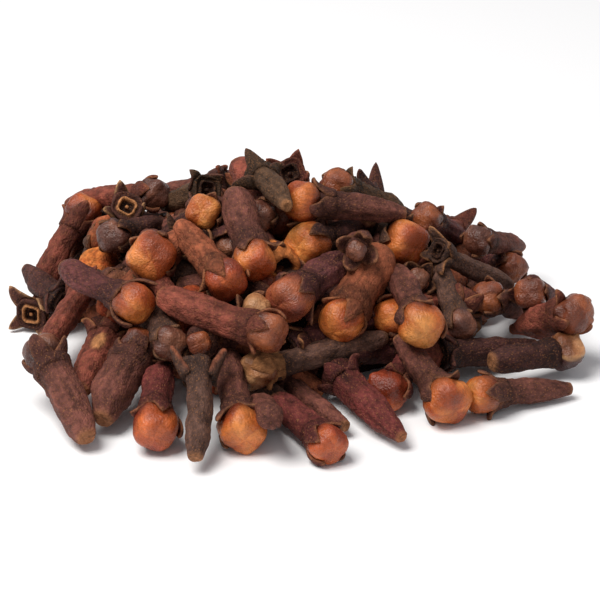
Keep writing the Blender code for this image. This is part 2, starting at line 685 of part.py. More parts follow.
def keep_largest_shell(target):
    """Drops loose scraps and fills sealed hollows: only the largest closed shell stays."""
    mesh = bmesh.new()
    mesh.from_mesh(target.data)
    bmesh.ops.triangulate(mesh, faces=mesh.faces)
    waiting = set(mesh.faces)
    shells = []
    while waiting:
        shell = {waiting.pop()}
        edge_of_shell = list(shell)
        while edge_of_shell:
            face = edge_of_shell.pop()
            for edge in face.edges:
                for neighbour in edge.link_faces:
                    if neighbour in waiting:
                        waiting.remove(neighbour)
                        shell.add(neighbour)
                        edge_of_shell.append(neighbour)
        shells.append(shell)
    largest = max(shells, key=len)
    scraps = [face for shell in shells if shell is not largest for face in shell]
    bmesh.ops.delete(mesh, geom=scraps, context="FACES")
    mesh.to_mesh(target.data)
    mesh.free()


def dress(target):
    material = bpy.data.materials.new("dried clove")
    material.use_nodes = True
    surface = material.node_tree.nodes["Principled BSDF"]
    surface.inputs["Base Color"].default_value = CLOVE_BROWN
    surface.inputs["Roughness"].default_value = CLOVE_ROUGHNESS
    target.data.materials.append(material)


def fuse(heap, helpers, cloves):
    """Fuses the cloves to the core and cuts off what is under the floor."""
    for clove in cloves:
        axis, side = clove_axes(clove)
        helpers.objects.link(loft("clove", clove_rings(clove), axis, side, BODY_SIDES[clove.layer]))
        if has_sepals(clove):
            for quarter in range(4):
                helpers.objects.link(make_sepal(clove, quarter))
    add_boolean(heap, "UNION", "MANIFOLD", collection=helpers)
    above = make_floor_block()
    above.hide_render = True
    bpy.context.scene.collection.objects.link(above)
    add_boolean(heap, "INTERSECT", "MANIFOLD", cutter=above)
    evaluated = heap.evaluated_get(bpy.context.evaluated_depsgraph_get())
    fused = bpy.data.meshes.new_from_object(evaluated)
    heap.modifiers.clear()
    heap.data = fused
    for helper in list(helpers.objects) + [above]:
        bpy.data.objects.remove(helper)
    bpy.data.collections.remove(helpers)


def main():
    for thing in list(bpy.data.objects):
        bpy.data.objects.remove(thing)
    model = bpy.data.collections.new("Heap of whole cloves")
    helpers = bpy.data.collections.new("Cloves to fuse")
    helpers.hide_render = True
    bpy.context.scene.collection.children.link(model)
    bpy.context.scene.collection.children.link(helpers)
    heap = make_core()
    model.objects.link(heap)
    fuse(heap, helpers, lay_out_heap())
    keep_largest_shell(heap)
    dress(heap)


if __name__ == "__main__":
    main()
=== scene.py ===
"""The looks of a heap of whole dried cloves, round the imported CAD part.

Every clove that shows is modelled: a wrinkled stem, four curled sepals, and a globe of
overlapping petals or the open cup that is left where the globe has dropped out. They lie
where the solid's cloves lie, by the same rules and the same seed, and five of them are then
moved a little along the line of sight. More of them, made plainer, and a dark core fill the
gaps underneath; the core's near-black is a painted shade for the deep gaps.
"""
import math
import random
from dataclasses import dataclass

import bpy
import numpy as np
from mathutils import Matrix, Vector


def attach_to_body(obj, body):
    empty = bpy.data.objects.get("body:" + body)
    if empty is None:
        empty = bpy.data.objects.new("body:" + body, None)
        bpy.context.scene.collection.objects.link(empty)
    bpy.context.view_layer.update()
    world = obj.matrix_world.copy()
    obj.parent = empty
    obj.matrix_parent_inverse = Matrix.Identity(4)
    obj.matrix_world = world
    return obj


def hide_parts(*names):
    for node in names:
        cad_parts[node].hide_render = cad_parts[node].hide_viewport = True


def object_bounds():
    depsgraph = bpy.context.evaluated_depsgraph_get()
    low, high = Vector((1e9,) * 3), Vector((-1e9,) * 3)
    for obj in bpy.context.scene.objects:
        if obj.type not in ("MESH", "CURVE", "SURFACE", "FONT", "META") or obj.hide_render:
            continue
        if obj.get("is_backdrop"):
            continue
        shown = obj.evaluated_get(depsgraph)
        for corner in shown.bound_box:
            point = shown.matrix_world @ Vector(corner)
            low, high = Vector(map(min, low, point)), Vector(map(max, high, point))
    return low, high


# Lengths are in millimetres, and become metres where a mesh is made
MM = 0.001
SEED = 11

# The view that the picture was taken from: 600 by 600 pixels, 8.5 pixels a millimetre at its aim
VIEW_ELEVATION = math.radians(25)
VIEW_DISTANCE = 260.0
VIEW_AIM = np.array((1.0, 0.0, 5.8))
PIXELS_PER_MM = 8.5
PICTURE_MIDDLE = 300.0
AHEAD = np.array((0.0, math.cos(VIEW_ELEVATION), -math.sin(VIEW_ELEVATION)))
UPWARD = np.array((0.0, math.sin(VIEW_ELEVATION), math.cos(VIEW_ELEVATION)))
ACROSS = np.array((1.0, 0.0, 0.0))
EYE = VIEW_AIM - VIEW_DISTANCE * AHEAD
FOCAL_PIXELS = PIXELS_PER_MM * VIEW_DISTANCE

# How far about its aim a line of sight is followed to find the skin, and in what steps
SEARCH_HALF = 50.0
SEARCH_STEP = 0.1
OVER_SKIN = 0.5

# The heap's skin: slopes that fall away from a short ridge, and a shoulder at the back left
RIDGE_FROM_X = -16.0
RIDGE_TO_X = 8.0
RIDGE_Y = 4.0
RIDGE_HEIGHT = 19.8
SLOPE_LEFT = 19.0
SLOPE_RIGHT = 26.0
SLOPE_FRONT = 27.0
SLOPE_BACK = 24.5
SLOPE_ROUNDING = 0.8
SHOULDER_X = -24.0
SHOULDER_Y = 10.0
SHOULDER_RADIUS = 10.0
SHOULDER_HEIGHT = 3.5

# The core is half of an ellipsoid
CORE_MIDDLE = np.array((-2.0, 3.5, 0.0))
CORE_HALF = np.array((23.0, 17.0, 14.5))

# Moves the heap, once it is laid out, so that its middle is over the origin
TO_CENTRE = np.array((-0.29, -1.37, 0.0))

# A clove's stem and head, for settling, are balls at these shares of its length
BALL_AT = np.array((0.04, 0.18, 0.32, 0.46, 0.60, 0.74, 0.88, 1.0))
STEM_TAPER = np.array((0.82, 0.92, 0.98, 1.0, 1.0, 1.0, 1.1))
OPEN_HEAD_TO_STEM = 1.25
OPEN_RIM = 0.4


@dataclass
class Seen:
    """A clove in the picture: pixels of its head, its foot and one sepal's tip, and sizes in mm.

    Its head lies on the skin, `sink` below it, or else one end is at a stated height.
    `lean` is 1 where the other end is farther from the eye, and -1 where it is nearer.
    """
    name: str
    kind: str
    head: tuple
    foot: tuple
    sepal: tuple
    length: float
    stem: float
    bud: float
    sink: float = 0.0
    head_high: float = None
    foot_high: float = None
    lean: int = 1


SEEN = (
    Seen("far left star", "open", (31, 313), (58, 288), (10, 284), 12.5, 1.55, 2.1, head_high=2.6),
    Seen("front left", "shut", (42, 354), (87, 440), (62, 336), 16.2, 1.95, 2.4, foot_high=1.7),
    Seen("left prop", "bud", (81, 208), (37, 286), (56, 208), 14.0, 1.5, 2.3, foot_high=3.0),
    Seen("left foot", "open", (64, 302), (30, 273), (80, 300), 11.5, 1.6, 2.1, foot_high=3.6, lean=-1),
    Seen("left arm", "bud", (131, 304), (58, 267), (106, 288), 14.5, 1.6, 2.5),
    Seen("left strut", "open", (90, 284), (47, 350), (95, 275), 14.0, 1.6, 2.1, foot_high=4.6),
    Seen("plump left", "shut", (142, 347), (101, 420), (122, 336), 14.0, 2.3, 2.5, foot_high=2.2),
    Seen("torn left", "open", (112, 330), (84, 392), (100, 326), 12.5, 1.8, 2.1, foot_high=3.0),
    Seen("back left", "shut", (155, 191), (70, 202), (158, 178), 14.5, 1.45, 2.0),
    Seen("high star", "open", (129, 208), (118, 256), (124, 186), 12.0, 1.6, 2.0),
    Seen("left globe", "bud", (154, 257), (152, 236), (133, 240), 14.0, 1.7, 2.8),
    Seen("diagonal", "bud", (225, 281), (177, 224), (198, 292), 14.5, 1.7, 2.5),
    Seen("plum stem", "shut", (236, 247), (194, 228), (246, 236), 13.0, 1.9, 2.2, sink=3.5),
    Seen("upright", "bud", (254, 259), (233, 190), (276, 243), 13.5, 1.9, 2.4, sink=0.5),
    Seen("ridge", "shut", (276, 224), (234, 166), (282, 214), 13.5, 1.7, 2.2, sink=3.0),
    Seen("top horn", "open", (257, 173), (285, 206), (243, 148), 12.0, 1.5, 2.0, lean=-1),
    Seen("top back", "open", (286, 173), (298, 206), (291, 158), 12.0, 1.6, 2.0, sink=2.5),
    Seen("top globe", "bud", (303, 203), (402, 218), (321, 179), 15.5, 1.6, 2.75),
    Seen("top right", "shut", (338, 181), (404, 212), (355, 163), 14.5, 1.4, 2.1, sink=1.5),
    Seen("olive", "open", (206, 187), (163, 203), (194, 174), 13.0, 1.5, 2.2, sink=1.5),
    Seen("yellow bud", "bud", (203, 214), (222, 222), (212, 199), 13.0, 1.6, 2.1, sink=2.0),
    Seen("under star", "open", (112, 236), (163, 222), (100, 225), 12.0, 1.6, 2.0, sink=3.5),
    Seen("middle bud", "bud", (307, 244), (362, 225), (287, 225), 13.5, 1.6, 2.5),
    Seen("middle star", "open", (357, 252), (345, 262), (338, 243), 12.0, 1.5, 2.1, sink=0.5),
    Seen("right globe", "bud", (404, 242), (344, 209), (413, 212), 14.0, 1.5, 2.8),
    Seen("plump middle", "bud", (341, 320), (381, 250), (322, 298), 14.5, 2.3, 2.6),
    Seen("purple bud", "bud", (290, 298), (343, 265), (312, 325), 13.5, 1.9, 2.75),
    Seen("hollow bud", "open", (278, 262), (262, 276), (298, 266), 12.0, 1.6, 2.3, sink=2.0),
    Seen("red bud", "bud", (258, 288), (246, 300), (252, 266), 12.5, 1.5, 2.0, sink=3.0),
    Seen("long left", "bud", (268, 333), (157, 298), (247, 352), 16.5, 1.8, 2.3),
    Seen("left cup", "open", (170, 345), (153, 306), (178, 326), 12.5, 1.7, 2.0),
    Seen("front bud", "bud", (160, 428), (167, 368), (135, 414), 14.0, 1.75, 2.6, head_high=2.7),
    Seen("fork", "open", (197, 368), (194, 464), (177, 350), 14.5, 1.4, 2.1, foot_high=1.4),
    Seen("square bud", "bud", (240, 427), (225, 354), (256, 397), 14.0, 1.8, 2.65, head_high=2.8),
    Seen("long grey", "open", (256, 371), (383, 336), (280, 388), 17.2, 1.5, 2.2, head_high=5.0),
    Seen("bright bud", "bud", (420, 325), (379, 275), (430, 297), 14.5, 1.65, 2.75),
    Seen("grey peg", "shut", (461, 324), (437, 257), (472, 304), 13.5, 1.35, 2.0),
    Seen("right cup", "open", (483, 300), (519, 320), (482, 278), 12.0, 1.6, 2.0),
    Seen("plump right", "shut", (574, 313), (512, 329), (554, 289), 13.0, 2.1, 2.3, head_high=7.0),
    Seen("cap right", "shut", (566, 357), (490, 369), (545, 340), 12.2, 1.6, 2.3, head_high=2.3,
         lean=-1),
    Seen("plum right", "open", (441, 358), (537, 349), (436, 370), 14.0, 1.6, 1.9, head_high=3.5),
    Seen("front right", "bud", (487, 394), (576, 390), (498, 421), 13.5, 1.45, 2.3, head_high=2.4),
    Seen("front globe", "bud", (447, 400), (396, 343), (453, 364), 14.5, 1.65, 2.75, head_high=2.8),
    Seen("red globe", "bud", (387, 392), (372, 348), (393, 361), 13.5, 1.6, 2.45, head_high=2.5),
    Seen("front tail", "open", (339, 373), (403, 436), (349, 364), 14.5, 1.75, 2.0, foot_high=1.6),
    Seen("front red", "bud", (330, 443), (274, 399), (343, 426), 14.0, 1.65, 2.2, head_high=2.3),
    Seen("front tan", "open", (291, 385), (344, 420), (283, 376), 13.0, 1.4, 2.0, foot_high=1.5),
    Seen("behind fork", "bud", (200, 342), (220, 330), (206, 358), 12.5, 1.7, 2.1, sink=2.5),
    Seen("dark body", "open", (262, 215), (274, 236), (250, 210), 12.0, 1.5, 2.0, sink=1.0),
    Seen("thin star", "open", (410, 282), (398, 296), (424, 265), 12.0, 1.4, 2.0, sink=2.5),
    Seen("grey arm", "open", (441, 245), (513, 280), (433, 228), 14.0, 1.25, 1.9),
    Seen("right back", "shut", (436, 218), (479, 245), (455, 206), 13.0, 1.45, 2.0, sink=1.0),
    Seen("right end", "shut", (514, 263), (470, 241), (524, 249), 13.0, 1.5, 1.9, sink=0.5),
    Seen("right ridge", "open", (478, 240), (521, 252), (479, 227), 12.5, 1.4, 1.9, sink=1.5),
    Seen("tan bud", "bud", (250, 312), (246, 326), (236, 306), 12.5, 1.5, 2.0, sink=2.0),
    Seen("front stub", "open", (270, 418), (258, 404), (262, 408), 12.0, 1.5, 1.9, foot_high=1.6,
         lean=-1),
)

# What the filling keeps clear of in the picture, in pixels: the floor that shows between cloves,
# and all that lies outside the heap's upper and lower outline. It goes at least BEHIND the
# cloves that it shares a place in the picture with. After settling, a filling clove that
# sticks out over the upper outline by more than OVER_OUTLINE, or lies in front of a clove of
# the picture by more than IN_FRONT, is left out.
BARE_PATCHES = {
    "inside the left prop": ((50, 62), (285, 322)),
    "left bay": ((66, 98), (335, 385)),
    "left notch": ((132, 148), (387, 403)),
    "beside the fork": ((204, 214), (412, 452)),
    "front bay": ((268, 298), (432, 452)),
    "front slit": ((357, 370), (378, 408)),
    "right bay": ((484, 532), (318, 342)),
}
UPPER_OUTLINE = (
    (9, 290), (22, 265), (60, 216), (160, 192), (235, 178), (370, 196), (455, 224), (585, 306),
)
LOWER_OUTLINE = ((9, 335), (100, 350), (200, 405), (345, 435), (420, 425), (585, 385))

OVER_OUTLINE = 20.0
COVERING = 0.7
BEHIND = 0.5
IN_FRONT = 1.5

# The filling lies in layers: how far under the skin, how far apart, how deep in others before
# it settles, and how steep at most, in degrees
FILL_LAYERS = (
    ("outer", 1.9, 3.2, 2.4, 30.0),
    ("middle", 4.8, 8.5, 1.5, 25.0),
)
FILL_TRIES = 5000
FILL_LIFT = 3.0
FILL_X = (-35.0, 35.0)
FILL_Y = (-25.0, 34.0)
FILL_BACK = 29.5
FILL_SIDE = 34.0
LEAST_TILT = -10.0
TURN_RISE = 0.3
SLOPE_STEP = 0.5
FILL_LENGTH = (12.0, 15.5)
FILL_STEM = (1.35, 1.95)
FILL_BUD = (2.0, 2.7)
FILL_KINDS = ("bud", "bud", "shut", "open", "open")

# Settling, by many small steps. Cloves that overlap push each other apart, and those that
# aren't propped on the floor sink for the first part of the rounds.
SEEN_ROUNDS = 110
ALL_ROUNDS = 140
SINKING_ROUNDS = 0.7
SINK_STEP = 0.05
SINK_LIMIT = 2.0
NEAR_ENOUGH = 18.0
PUSH = 1.4
CORE_PUSH = 0.3
CORE_TOUCH = 0.97

# A clove of the picture gives way by this share to a filling one, moves aside by these shares
# of a push, and is drawn back to its line of sight, and to its place on it where it is propped
SEEN_GIVES_WAY = 0.1
HEAD_ASIDE = 0.1
FOOT_ASIDE = 0.35
BACK_TO_LINE = 0.25
BACK_TO_PLACE = 0.3
HEAD_MENDS = 0.15

# Each clove is joined to another by at least this depth
TOUCH = 0.55
NEAR_TOUCH = 0.05
PULL_TRIES = 8

# Under the solid's cloves the scene has further ones, a little plainer, which show only in the
# gaps. They lie round the core, in shells so far out of it, and may be this deep in others.
INNER_SHELLS = (-2.2, -0.4, 1.6, 3.8)
INNER_TRIES = 2600
INNER_APART = 2.6
INNER_OVERLAP = 2.1
INNER_TILT = 20.0
OVER_SKIN_AT_MOST = 0.3
IN_SIGHT = 0.05
DEPTH_STEP = 3

# Colours, as sRGB values from 0 to 255
TONES = {
    "plum": (92, 50, 49),
    "russet": (124, 64, 51),
    "umber": (104, 61, 52),
    "grey": (96, 68, 58),
    "dark": (68, 39, 36),
    "rust": (146, 80, 54),
    "red": (102, 46, 43),
    "olive": (86, 62, 45),
    "tan": (180, 122, 78),
    "pale": (204, 156, 108),
    "shell": (198, 116, 60),
    # hollow: painted shade inside the open cups and the hollow globe
    "hollow": (48, 27, 20),
    # core: painted shade, the near-black of the hidden core deep in the gaps
    "core": (28, 13, 9),
}

# A globe's colours: all over; where it is brightest, a lighter one that partly stands for painted
# highlights; and a darker one, painted shade in its seams and near the calyx, also used for darker
# patches
GLOBES = {
    "orange": ((170, 76, 32), (222, 134, 66), (90, 33, 16)),
    "amber": ((182, 92, 38), (230, 152, 80), (104, 43, 19)),
    "red": ((148, 58, 29), (196, 98, 48), (78, 27, 16)),
    "purple": ((134, 64, 44), (188, 106, 66), (80, 33, 26)),
    "brown": ((124, 62, 38), (164, 90, 50), (70, 31, 21)),
    "tan": ((172, 114, 72), (208, 154, 108), (110, 62, 38)),
    "dry": ((98, 56, 43), (136, 84, 60), (58, 30, 25)),
}

# Cloves of the picture whose calyx is closed over a shrunken head, as the viewer sees it
CLOSED_UP = (
    "long grey", "under star", "middle star", "right cup", "dark body", "thin star",
    "right ridge", "left cup", "red globe",
)

# What each clove of the picture looks like: its stem, and its globe or, where it has none,
# the edges of its sepals
LOOKS = {
    "far left star": ("umber", "pale"),
    "front left": ("umber", "dry"),
    "left prop": ("russet", "orange"),
    "left foot": ("dark", "umber"),
    "left arm": ("plum", "orange"),
    "left strut": ("russet", "rust"),
    "plump left": ("umber", "brown"),
    "torn left": ("russet", "tan"),
    "back left": ("russet", "dry"),
    "high star": ("umber", "pale"),
    "left globe": ("umber", "orange"),
    "diagonal": ("rust", "red"),
    "plum stem": ("plum", "dry"),
    "upright": ("umber", "orange"),
    "ridge": ("russet", "brown"),
    "top horn": ("olive", "umber"),
    "top back": ("russet", "rust"),
    "top globe": ("umber", "orange"),
    "top right": ("olive", "brown"),
    "olive": ("olive", "umber"),
    "yellow bud": ("umber", "amber"),
    "under star": ("dark", "dry"),
    "middle bud": ("dark", "amber"),
    "middle star": ("umber", "dry"),
    "right globe": ("grey", "orange"),
    "plump middle": ("rust", "orange"),
    "purple bud": ("plum", "purple"),
    "hollow bud": ("umber", "tan"),
    "red bud": ("umber", "red"),
    "long left": ("russet", "brown"),
    "left cup": ("grey", "dry"),
    "front bud": ("red", "red"),
    "fork": ("grey", "rust"),
    "square bud": ("umber", "orange"),
    "long grey": ("grey", "tan"),
    "bright bud": ("umber", "amber"),
    "grey peg": ("grey", "dry"),
    "right cup": ("umber", "brown"),
    "plump right": ("russet", "brown"),
    "cap right": ("dark", "tan"),
    "plum right": ("dark", "umber"),
    "front right": ("umber", "amber"),
    "front globe": ("umber", "orange"),
    "red globe": ("red", "red"),
    "front tail": ("red", "umber"),
    "front red": ("red", "red"),
    "front tan": ("umber", "tan"),
    "behind fork": ("umber", "brown"),
    "dark body": ("dark", "dry"),
    "thin star": ("dark", "dry"),
    "grey arm": ("grey", "tan"),
    "right back": ("plum", "brown"),
    "right end": ("plum", "brown"),
    "right ridge": ("umber", "dry"),
    "tan bud": ("umber", "tan"),
    "front stub": ("umber", "tan"),
}
FILL_STEMS = ("umber", "russet", "grey", "plum", "dark", "umber", "rust")
FILL_GLOBES = ("orange", "red", "brown", "amber", "purple")
FILL_DRY = ("dry", "brown")
FILL_EDGES = ("umber", "tan", "rust", "olive")

# Rings along and points round, for the cloves that show and for those in the gaps
STEM_GRID = {"seen": (40, 36), "outer": (36, 32), "middle": (26, 24), "inner": (24, 20)}
CUP_ROWS = {"seen": 26, "outer": 22, "middle": 16, "inner": 12}
GLOBE_GRID = {"seen": (30, 48), "outer": (24, 40), "middle": (18, 28), "inner": (16, 24)}
SEPAL_GRID = {"seen": (14, 18), "outer": (12, 14), "middle": (8, 10), "inner": (7, 10)}

# The stem: how far it bends, how flat it is, its four soft angles, wrinkles and lumps
BOW = (0.08, 0.42)
FLATTER = 0.93
FOUR_ANGLES = 0.04
CUP_ANGLES = 0.09
WRINKLES = range(5, 12)
WRINKLE_DEPTH = 0.014
FURROWS = 3
FURROW_DEPTH = 0.10
FURROW_WIDTH = 0.22
FURROW_AT = (0.2, 0.9)
FURROW_LONG = (0.2, 0.5)
DEPTHS = (0.3, 1.0)
LUMP_SIZE = 1.7
LUMP_DEPTH = 0.11
GRAIN_SIZE = 0.45
GRAIN_DEPTH = 0.06

# The sepals: length, spread in degrees, start in stem radii, widest half, half width of the
# tip, and thickness at the root and at the tip
SEPAL_LENGTH = {"bud": 3.1, "shut": 2.6, "open": 2.9}
SEPAL_SPREAD = {"bud": 38.0, "shut": 34.0, "open": 58.0}
SEPAL_ROOT = 0.55
SEPAL_WIDE = {"bud": 1.4, "shut": 1.3, "open": 1.05}
TIP_WIDE = 0.16
SEPAL_THICK = (0.78, 0.48)

# A cup's sepal starts in stem radii out and millimetres over the rim, and bends on its way to
# its tip. A bud's starts in stem radii out and bud radii under the bud's middle, and goes
# round the bud: degrees up from its lowest point, and bud radii from its middle.
CUP_SEPAL = ((0.92, -1.7), (1.22, -0.7))
CUP_BEND_OUT = 1.35
CUP_BEND_UP = 0.10
CUP_BEND_RISE = 0.35
BUD_SEPAL_OUT = 0.9
BUD_SEPAL_UNDER = 1.3
BUD_SEPAL = ((42.0, 1.02), (72.0, 1.06))
BUD_SEPAL_FOLD = ((98.0, 1.07),)

# The globe: depth of its petals' steps, how far the seams turn, dents, how square, and fibres
PETALS = 4
PETAL_STEP = {"bud": 0.038, "shut": 0.09}
PETAL_TURN = 0.9
SEAM_WIDTH = 0.08
DENT_SIZE = {"bud": 1.9, "shut": 1.2}
DENT_DEPTH = {"bud": 0.07, "shut": 0.14}
SQUARENESS = (2.5, 3.6)
FIBRES = 26
FIBRE_DEPTH = 0.006
FIBRE_WANDER = 3.0
FIBRE_NOISE = 1.6
FINE_DEPTH = 0.018
SQUARE_SHARE = 0.9

# How much of a globe is in its lighter colour and in its low one, and the painted shade that darkens its
# dents and grooves
GLOBE_PATCHES = 1.1
BRIGHT_ALL = 0.25
BRIGHT_PATCHES = 0.8
# A painted highlight: lighter towards one edge of each petal
PETAL_HIGHLIGHT = 0.5
# Painted shade on the globe near the calyx and in the petals' seams
CALYX_SHADE_FROM = 1.75
CALYX_SHADE_FADE = 0.75
SEAM_SHADE = 0.28
CALYX_SHADE = 0.8
LOW_PATCHES = 0.6
LOW_AT_MOST = 0.95
# Painted shade in the dents, the fibres' grooves and the fine grain, lighter on their rises
SHADE_DENTS = 0.15
SHADE_FIBRES = 0.08
SHADE_FINE = 0.12

# The closest that anything comes to the floor
FLOOR_SOFT = 0.12

# The core is this share of the solid's size, and a little uneven
CORE_SHARE = 0.78
CORE_LUMP = 0.06

# Cloves that have a look of their own: one with a patch torn pale on its stem, at a share of
# its length, aside, half long and half wide; those with a pale ring in the cup; smaller
# globes; and those whose head and foot lie so many millimetres farther from the eye
TORN = {"torn left": (0.60, 0.45, 1.9, 0.75)}
TORN_EDGE = 0.45
TORN_SHARP = 4.0
RINGED = ("far left star", "high star")
SMALLER = {"behind fork": 0.66, "tan bud": 0.85, "red bud": 0.9, "middle star": 0.58, "thin star": 0.7}
SET_BACK = {
    "behind fork": (3.0, 3.0),
    "fork": (-3.2, 0.0),
    "square bud": (0.0, 1.5),
    "back left": (3.0, 8.0),
    "middle star": (1.6, 1.6),
}

# Cloves with no sepals or with some of the four broken off, with two arms whose tips lie so far
# out and over the rim, and turned by some degrees, with thicker, wider or pale sepals, and with
# a slim foot; then the one with a pale-rimmed cap and the one with an open, hollow globe
BARE_HEADS = ("front stub", "behind fork", "cap right")
BROKEN = {"fork": (1, 3)}
ARMS = {"fork": (2.9, 2.2)}
ARM_TURN = -22.0
THICKER = {"fork": 1.8}
WIDER = {"fork": 0.9, "long grey": 1.45}
PALE_HEADS = ("long grey",)
FOOT_WIDTH = (0.62, 1.02)
FEET = {"plump right": 0.42, "front tail": 0.55}
CAPPED = "cap right"
CAP_SHARP = 8.0
CAP_RIM = 0.1
CAP_RIM_SHARP = 9.0
HOLLOW_BUD = "hollow bud"

# Profiles, each row a height, a width in stem radii, a colour and a share of the relief.
# Heights are millimetres over the foot, or else over the head's point: in bud radii for the
# collar and the hollow globe, and in millimetres for the cup and the round end. The last rows
# of a cup and of the hollow globe are inside it.
FOOT_PROFILE = (
    (0.16, 0.12, "scar", 0.0),
    (0.04, 0.42, "scar", 0.2),
    (0.10, 0.66, "scar", 0.5),
    (0.60, 0.80, "skin", 1.0),
)
COLLAR_PROFILE = (
    (-1.90, 0.97, "neck", 1.0),
    (-1.20, 1.06, "collar", 0.6),
    (-0.90, 1.16, "collar", 0.4),
    (-0.60, 1.00, "collar", 0.0),
    (-0.45, 0.25, "collar", 0.0),
)
CUP_PROFILE = (
    (-2.60, 0.97, "neck", 1.0),
    (-1.20, 1.06, "collar", 0.8),
    (-0.20, 1.26, "collar", 0.8),
    (0.22, 1.30, "collar", 0.6),
    (0.28, 1.18, "collar", 0.6),
    (0.02, 0.98, "inner", 0.5),
    (-0.04, 0.86, "inner", 0.5),
    (0.26, 0.76, "ring", 0.7),
    (0.34, 0.70, "ring", 0.7),
    (0.20, 0.62, "ring", 0.7),
    (-0.35, 0.54, "hollow", 0.5),
    (-0.62, 0.36, "hollow", 0.5),
    (-0.56, 0.20, "hollow", 0.0),
    (-0.15, 0.15, "collar", 0.0),
    (0.10, 0.13, "ring", 0.0),
    (0.16, 0.05, "ring", 0.0),
)
CUP_INSIDE = 12
ROUND_END_PROFILE = (
    (-2.20, 0.97, "skin", 1.0),
    (-0.80, 1.02, "skin", 1.0),
    (-0.10, 0.90, "skin", 1.0),
    (0.28, 0.52, "skin", 0.8),
    (0.36, 0.12, "skin", 0.0),
)
HOLLOW_PROFILE = (
    (-1.20, 1.02, "skin", 1.0),
    (-0.75, 1.20, "edge", 0.8),
    (0.00, 1.48, "edge", 0.8),
    (0.45, 1.36, "edge", 0.8),
    (0.75, 1.05, "edge", 0.6),
    (0.72, 0.86, "edge", 0.5),
    (0.30, 0.72, "hollow", 0.3),
    (-0.20, 0.50, "hollow", 0.2),
    (-0.30, 0.12, "hollow", 0.0),
)
HOLLOW_INSIDE = 4

# Smaller measures of the forms and colours, most of them shares
STEM_FULL_AT = 0.5
WRINKLE_LEAN = 0.25
FURROW_LEAN = 0.08
PATCH_SIZE = 2.6
PATCH_SHADE = 0.30
# Painted shade in the stem's grooves, and lighter on its lumps
GROOVE_SHADE = 3.2
# Darker towards the calyx: partly the calyx's own darker brown, partly painted shade under the globe and
# sepals
NECK_SHADE = 0.85
COLLAR_SHADE = 0.45
# Painted shade on the inner wall of an open cup
INNER_SHADE = 0.36
SEPAL_SHADE = 0.68
SEPAL_UNDER_RIM = 1.2
SEPAL_UNDER_BUD = 0.95
SEPAL_UNEVEN = (0.45, 1.02)
FOLDED = {"bud": 0.4, "shut": 0.7}
FOLDED_TO = (106.0, 130.0)
FOLDED_AWAY = 1.05
SEPAL_RISE = 0.8
SEPAL_CURL = (-0.28, 0.22)
SEPAL_WAVE = 0.06
WAVES_ALONG = 5.0
WAVES_ACROSS = 2.0
PHASES = (0.0, 6.0)
SEPAL_ASIDE = 9.0
SEPAL_SPACING = 0.85
SEPAL_TAPER = 1.9
SEPAL_ROUND = 0.26
SEPAL_LEAST_OUT = 0.9
SEPAL_MOTTLE_SIZE = 0.6
SEPAL_MOTTLE = 0.25
TIP_OUT = (0.80, 1.25)
TIP_UP = 1.3
TIP_UNEVEN = (0.7, 1.5)
TIP_WIDE_FROM = 9.0
TIP_WIDE_LEAST = 0.12
TIP_THICK_FROM = 8.0
TIP_THICK_LEAST = 0.10
TIP_FROM = 0.86
EDGE_FROM = 0.72
EDGE_FADE = 0.4
BUD_EDGES = 0.35
OPEN_EDGES = 0.8
PALE_ROOT = 0.45
GLOBE_START = 0.45
GLOBE_END = 0.04
GLOBE_SIZE = 0.90
GLOBE_FLAT = (0.74, 0.94)
GRAIN_DRAWN_OUT = 0.7
LEAST_HEIGHT = 0.004
CORE_ROWS = 60
CORE_COLUMNS = 96
CORE_END = 0.06
CORE_LUMP_SIZE = 2.2
CORE_MOTTLE = 0.4

# The noise that all relief and mottling come from
NOISE_SPAN = 50.0
LATTICE_SIDE = 32
LATTICE = np.random.default_rng(SEED).uniform(-1.0, 1.0, (LATTICE_SIDE,) * 3)

# Skin shader: noise scales are per millimetre, and the ranges are of the noise's values
MOTTLE_SCALE = 1.9
MOTTLE_DETAIL = 5.0
MOTTLE_RANGE = (0.32, 0.68)
FLECK_SCALE = 6.5
FLECK_DETAIL = 2.0
FLECK_RANGE = (0.57, 0.70)
ROUGH_RANGE = (0.35, 0.65)
BUMP_SCALE = 4.5
BUMP_DETAIL = 6.0
BUMP_HEIGHT = 0.3
RANGE_SOCKETS = ("From Min", "From Max", "To Min", "To Max")
STEM_SKIN = {"bump": 1.0, "mottling": (0.56, 1.36), "specks": 0.40, "rough": (0.55, 0.8), "gloss": 0.18}
GLOBE_SKIN = {"bump": 0.6, "mottling": (0.8, 1.16), "specks": 0.12, "rough": (0.24, 0.42), "gloss": 0.46}

# Floor, light and camera
FLOOR_SIDE = 6.0
FLOOR_GAP = 0.01
FLOOR_WHITE = (0.94, 0.94, 0.95, 1.0)
ROOM_LIGHT = (0.96, 0.97, 1.0, 1.0)
ROOM_STRENGTH = 0.40
LAMP_COLOUR = (1.0, 0.98, 0.95)
LAMPS = (("overhead", (-0.20, -0.10, 0.48), 0.30, 2.9),)
SENSOR_WIDTH = 36.0


def skin_height(x, y):
    """The height that the cloves heap up to above a point of the floor."""
    left = np.maximum(RIDGE_FROM_X - x, 0.0) / SLOPE_LEFT
    right = np.maximum(x - RIDGE_TO_X, 0.0) / SLOPE_RIGHT
    front = np.maximum(RIDGE_Y - y, 0.0) / SLOPE_FRONT
    back = np.maximum(y - RIDGE_Y, 0.0) / SLOPE_BACK
    down = np.maximum(0.0, 1.0 - np.hypot(left + right, front + back))
    out = np.hypot(x - SHOULDER_X, y - SHOULDER_Y) / SHOULDER_RADIUS
    return RIDGE_HEIGHT * down ** SLOPE_ROUNDING + SHOULDER_HEIGHT * np.maximum(0.0, 1.0 - out * out)


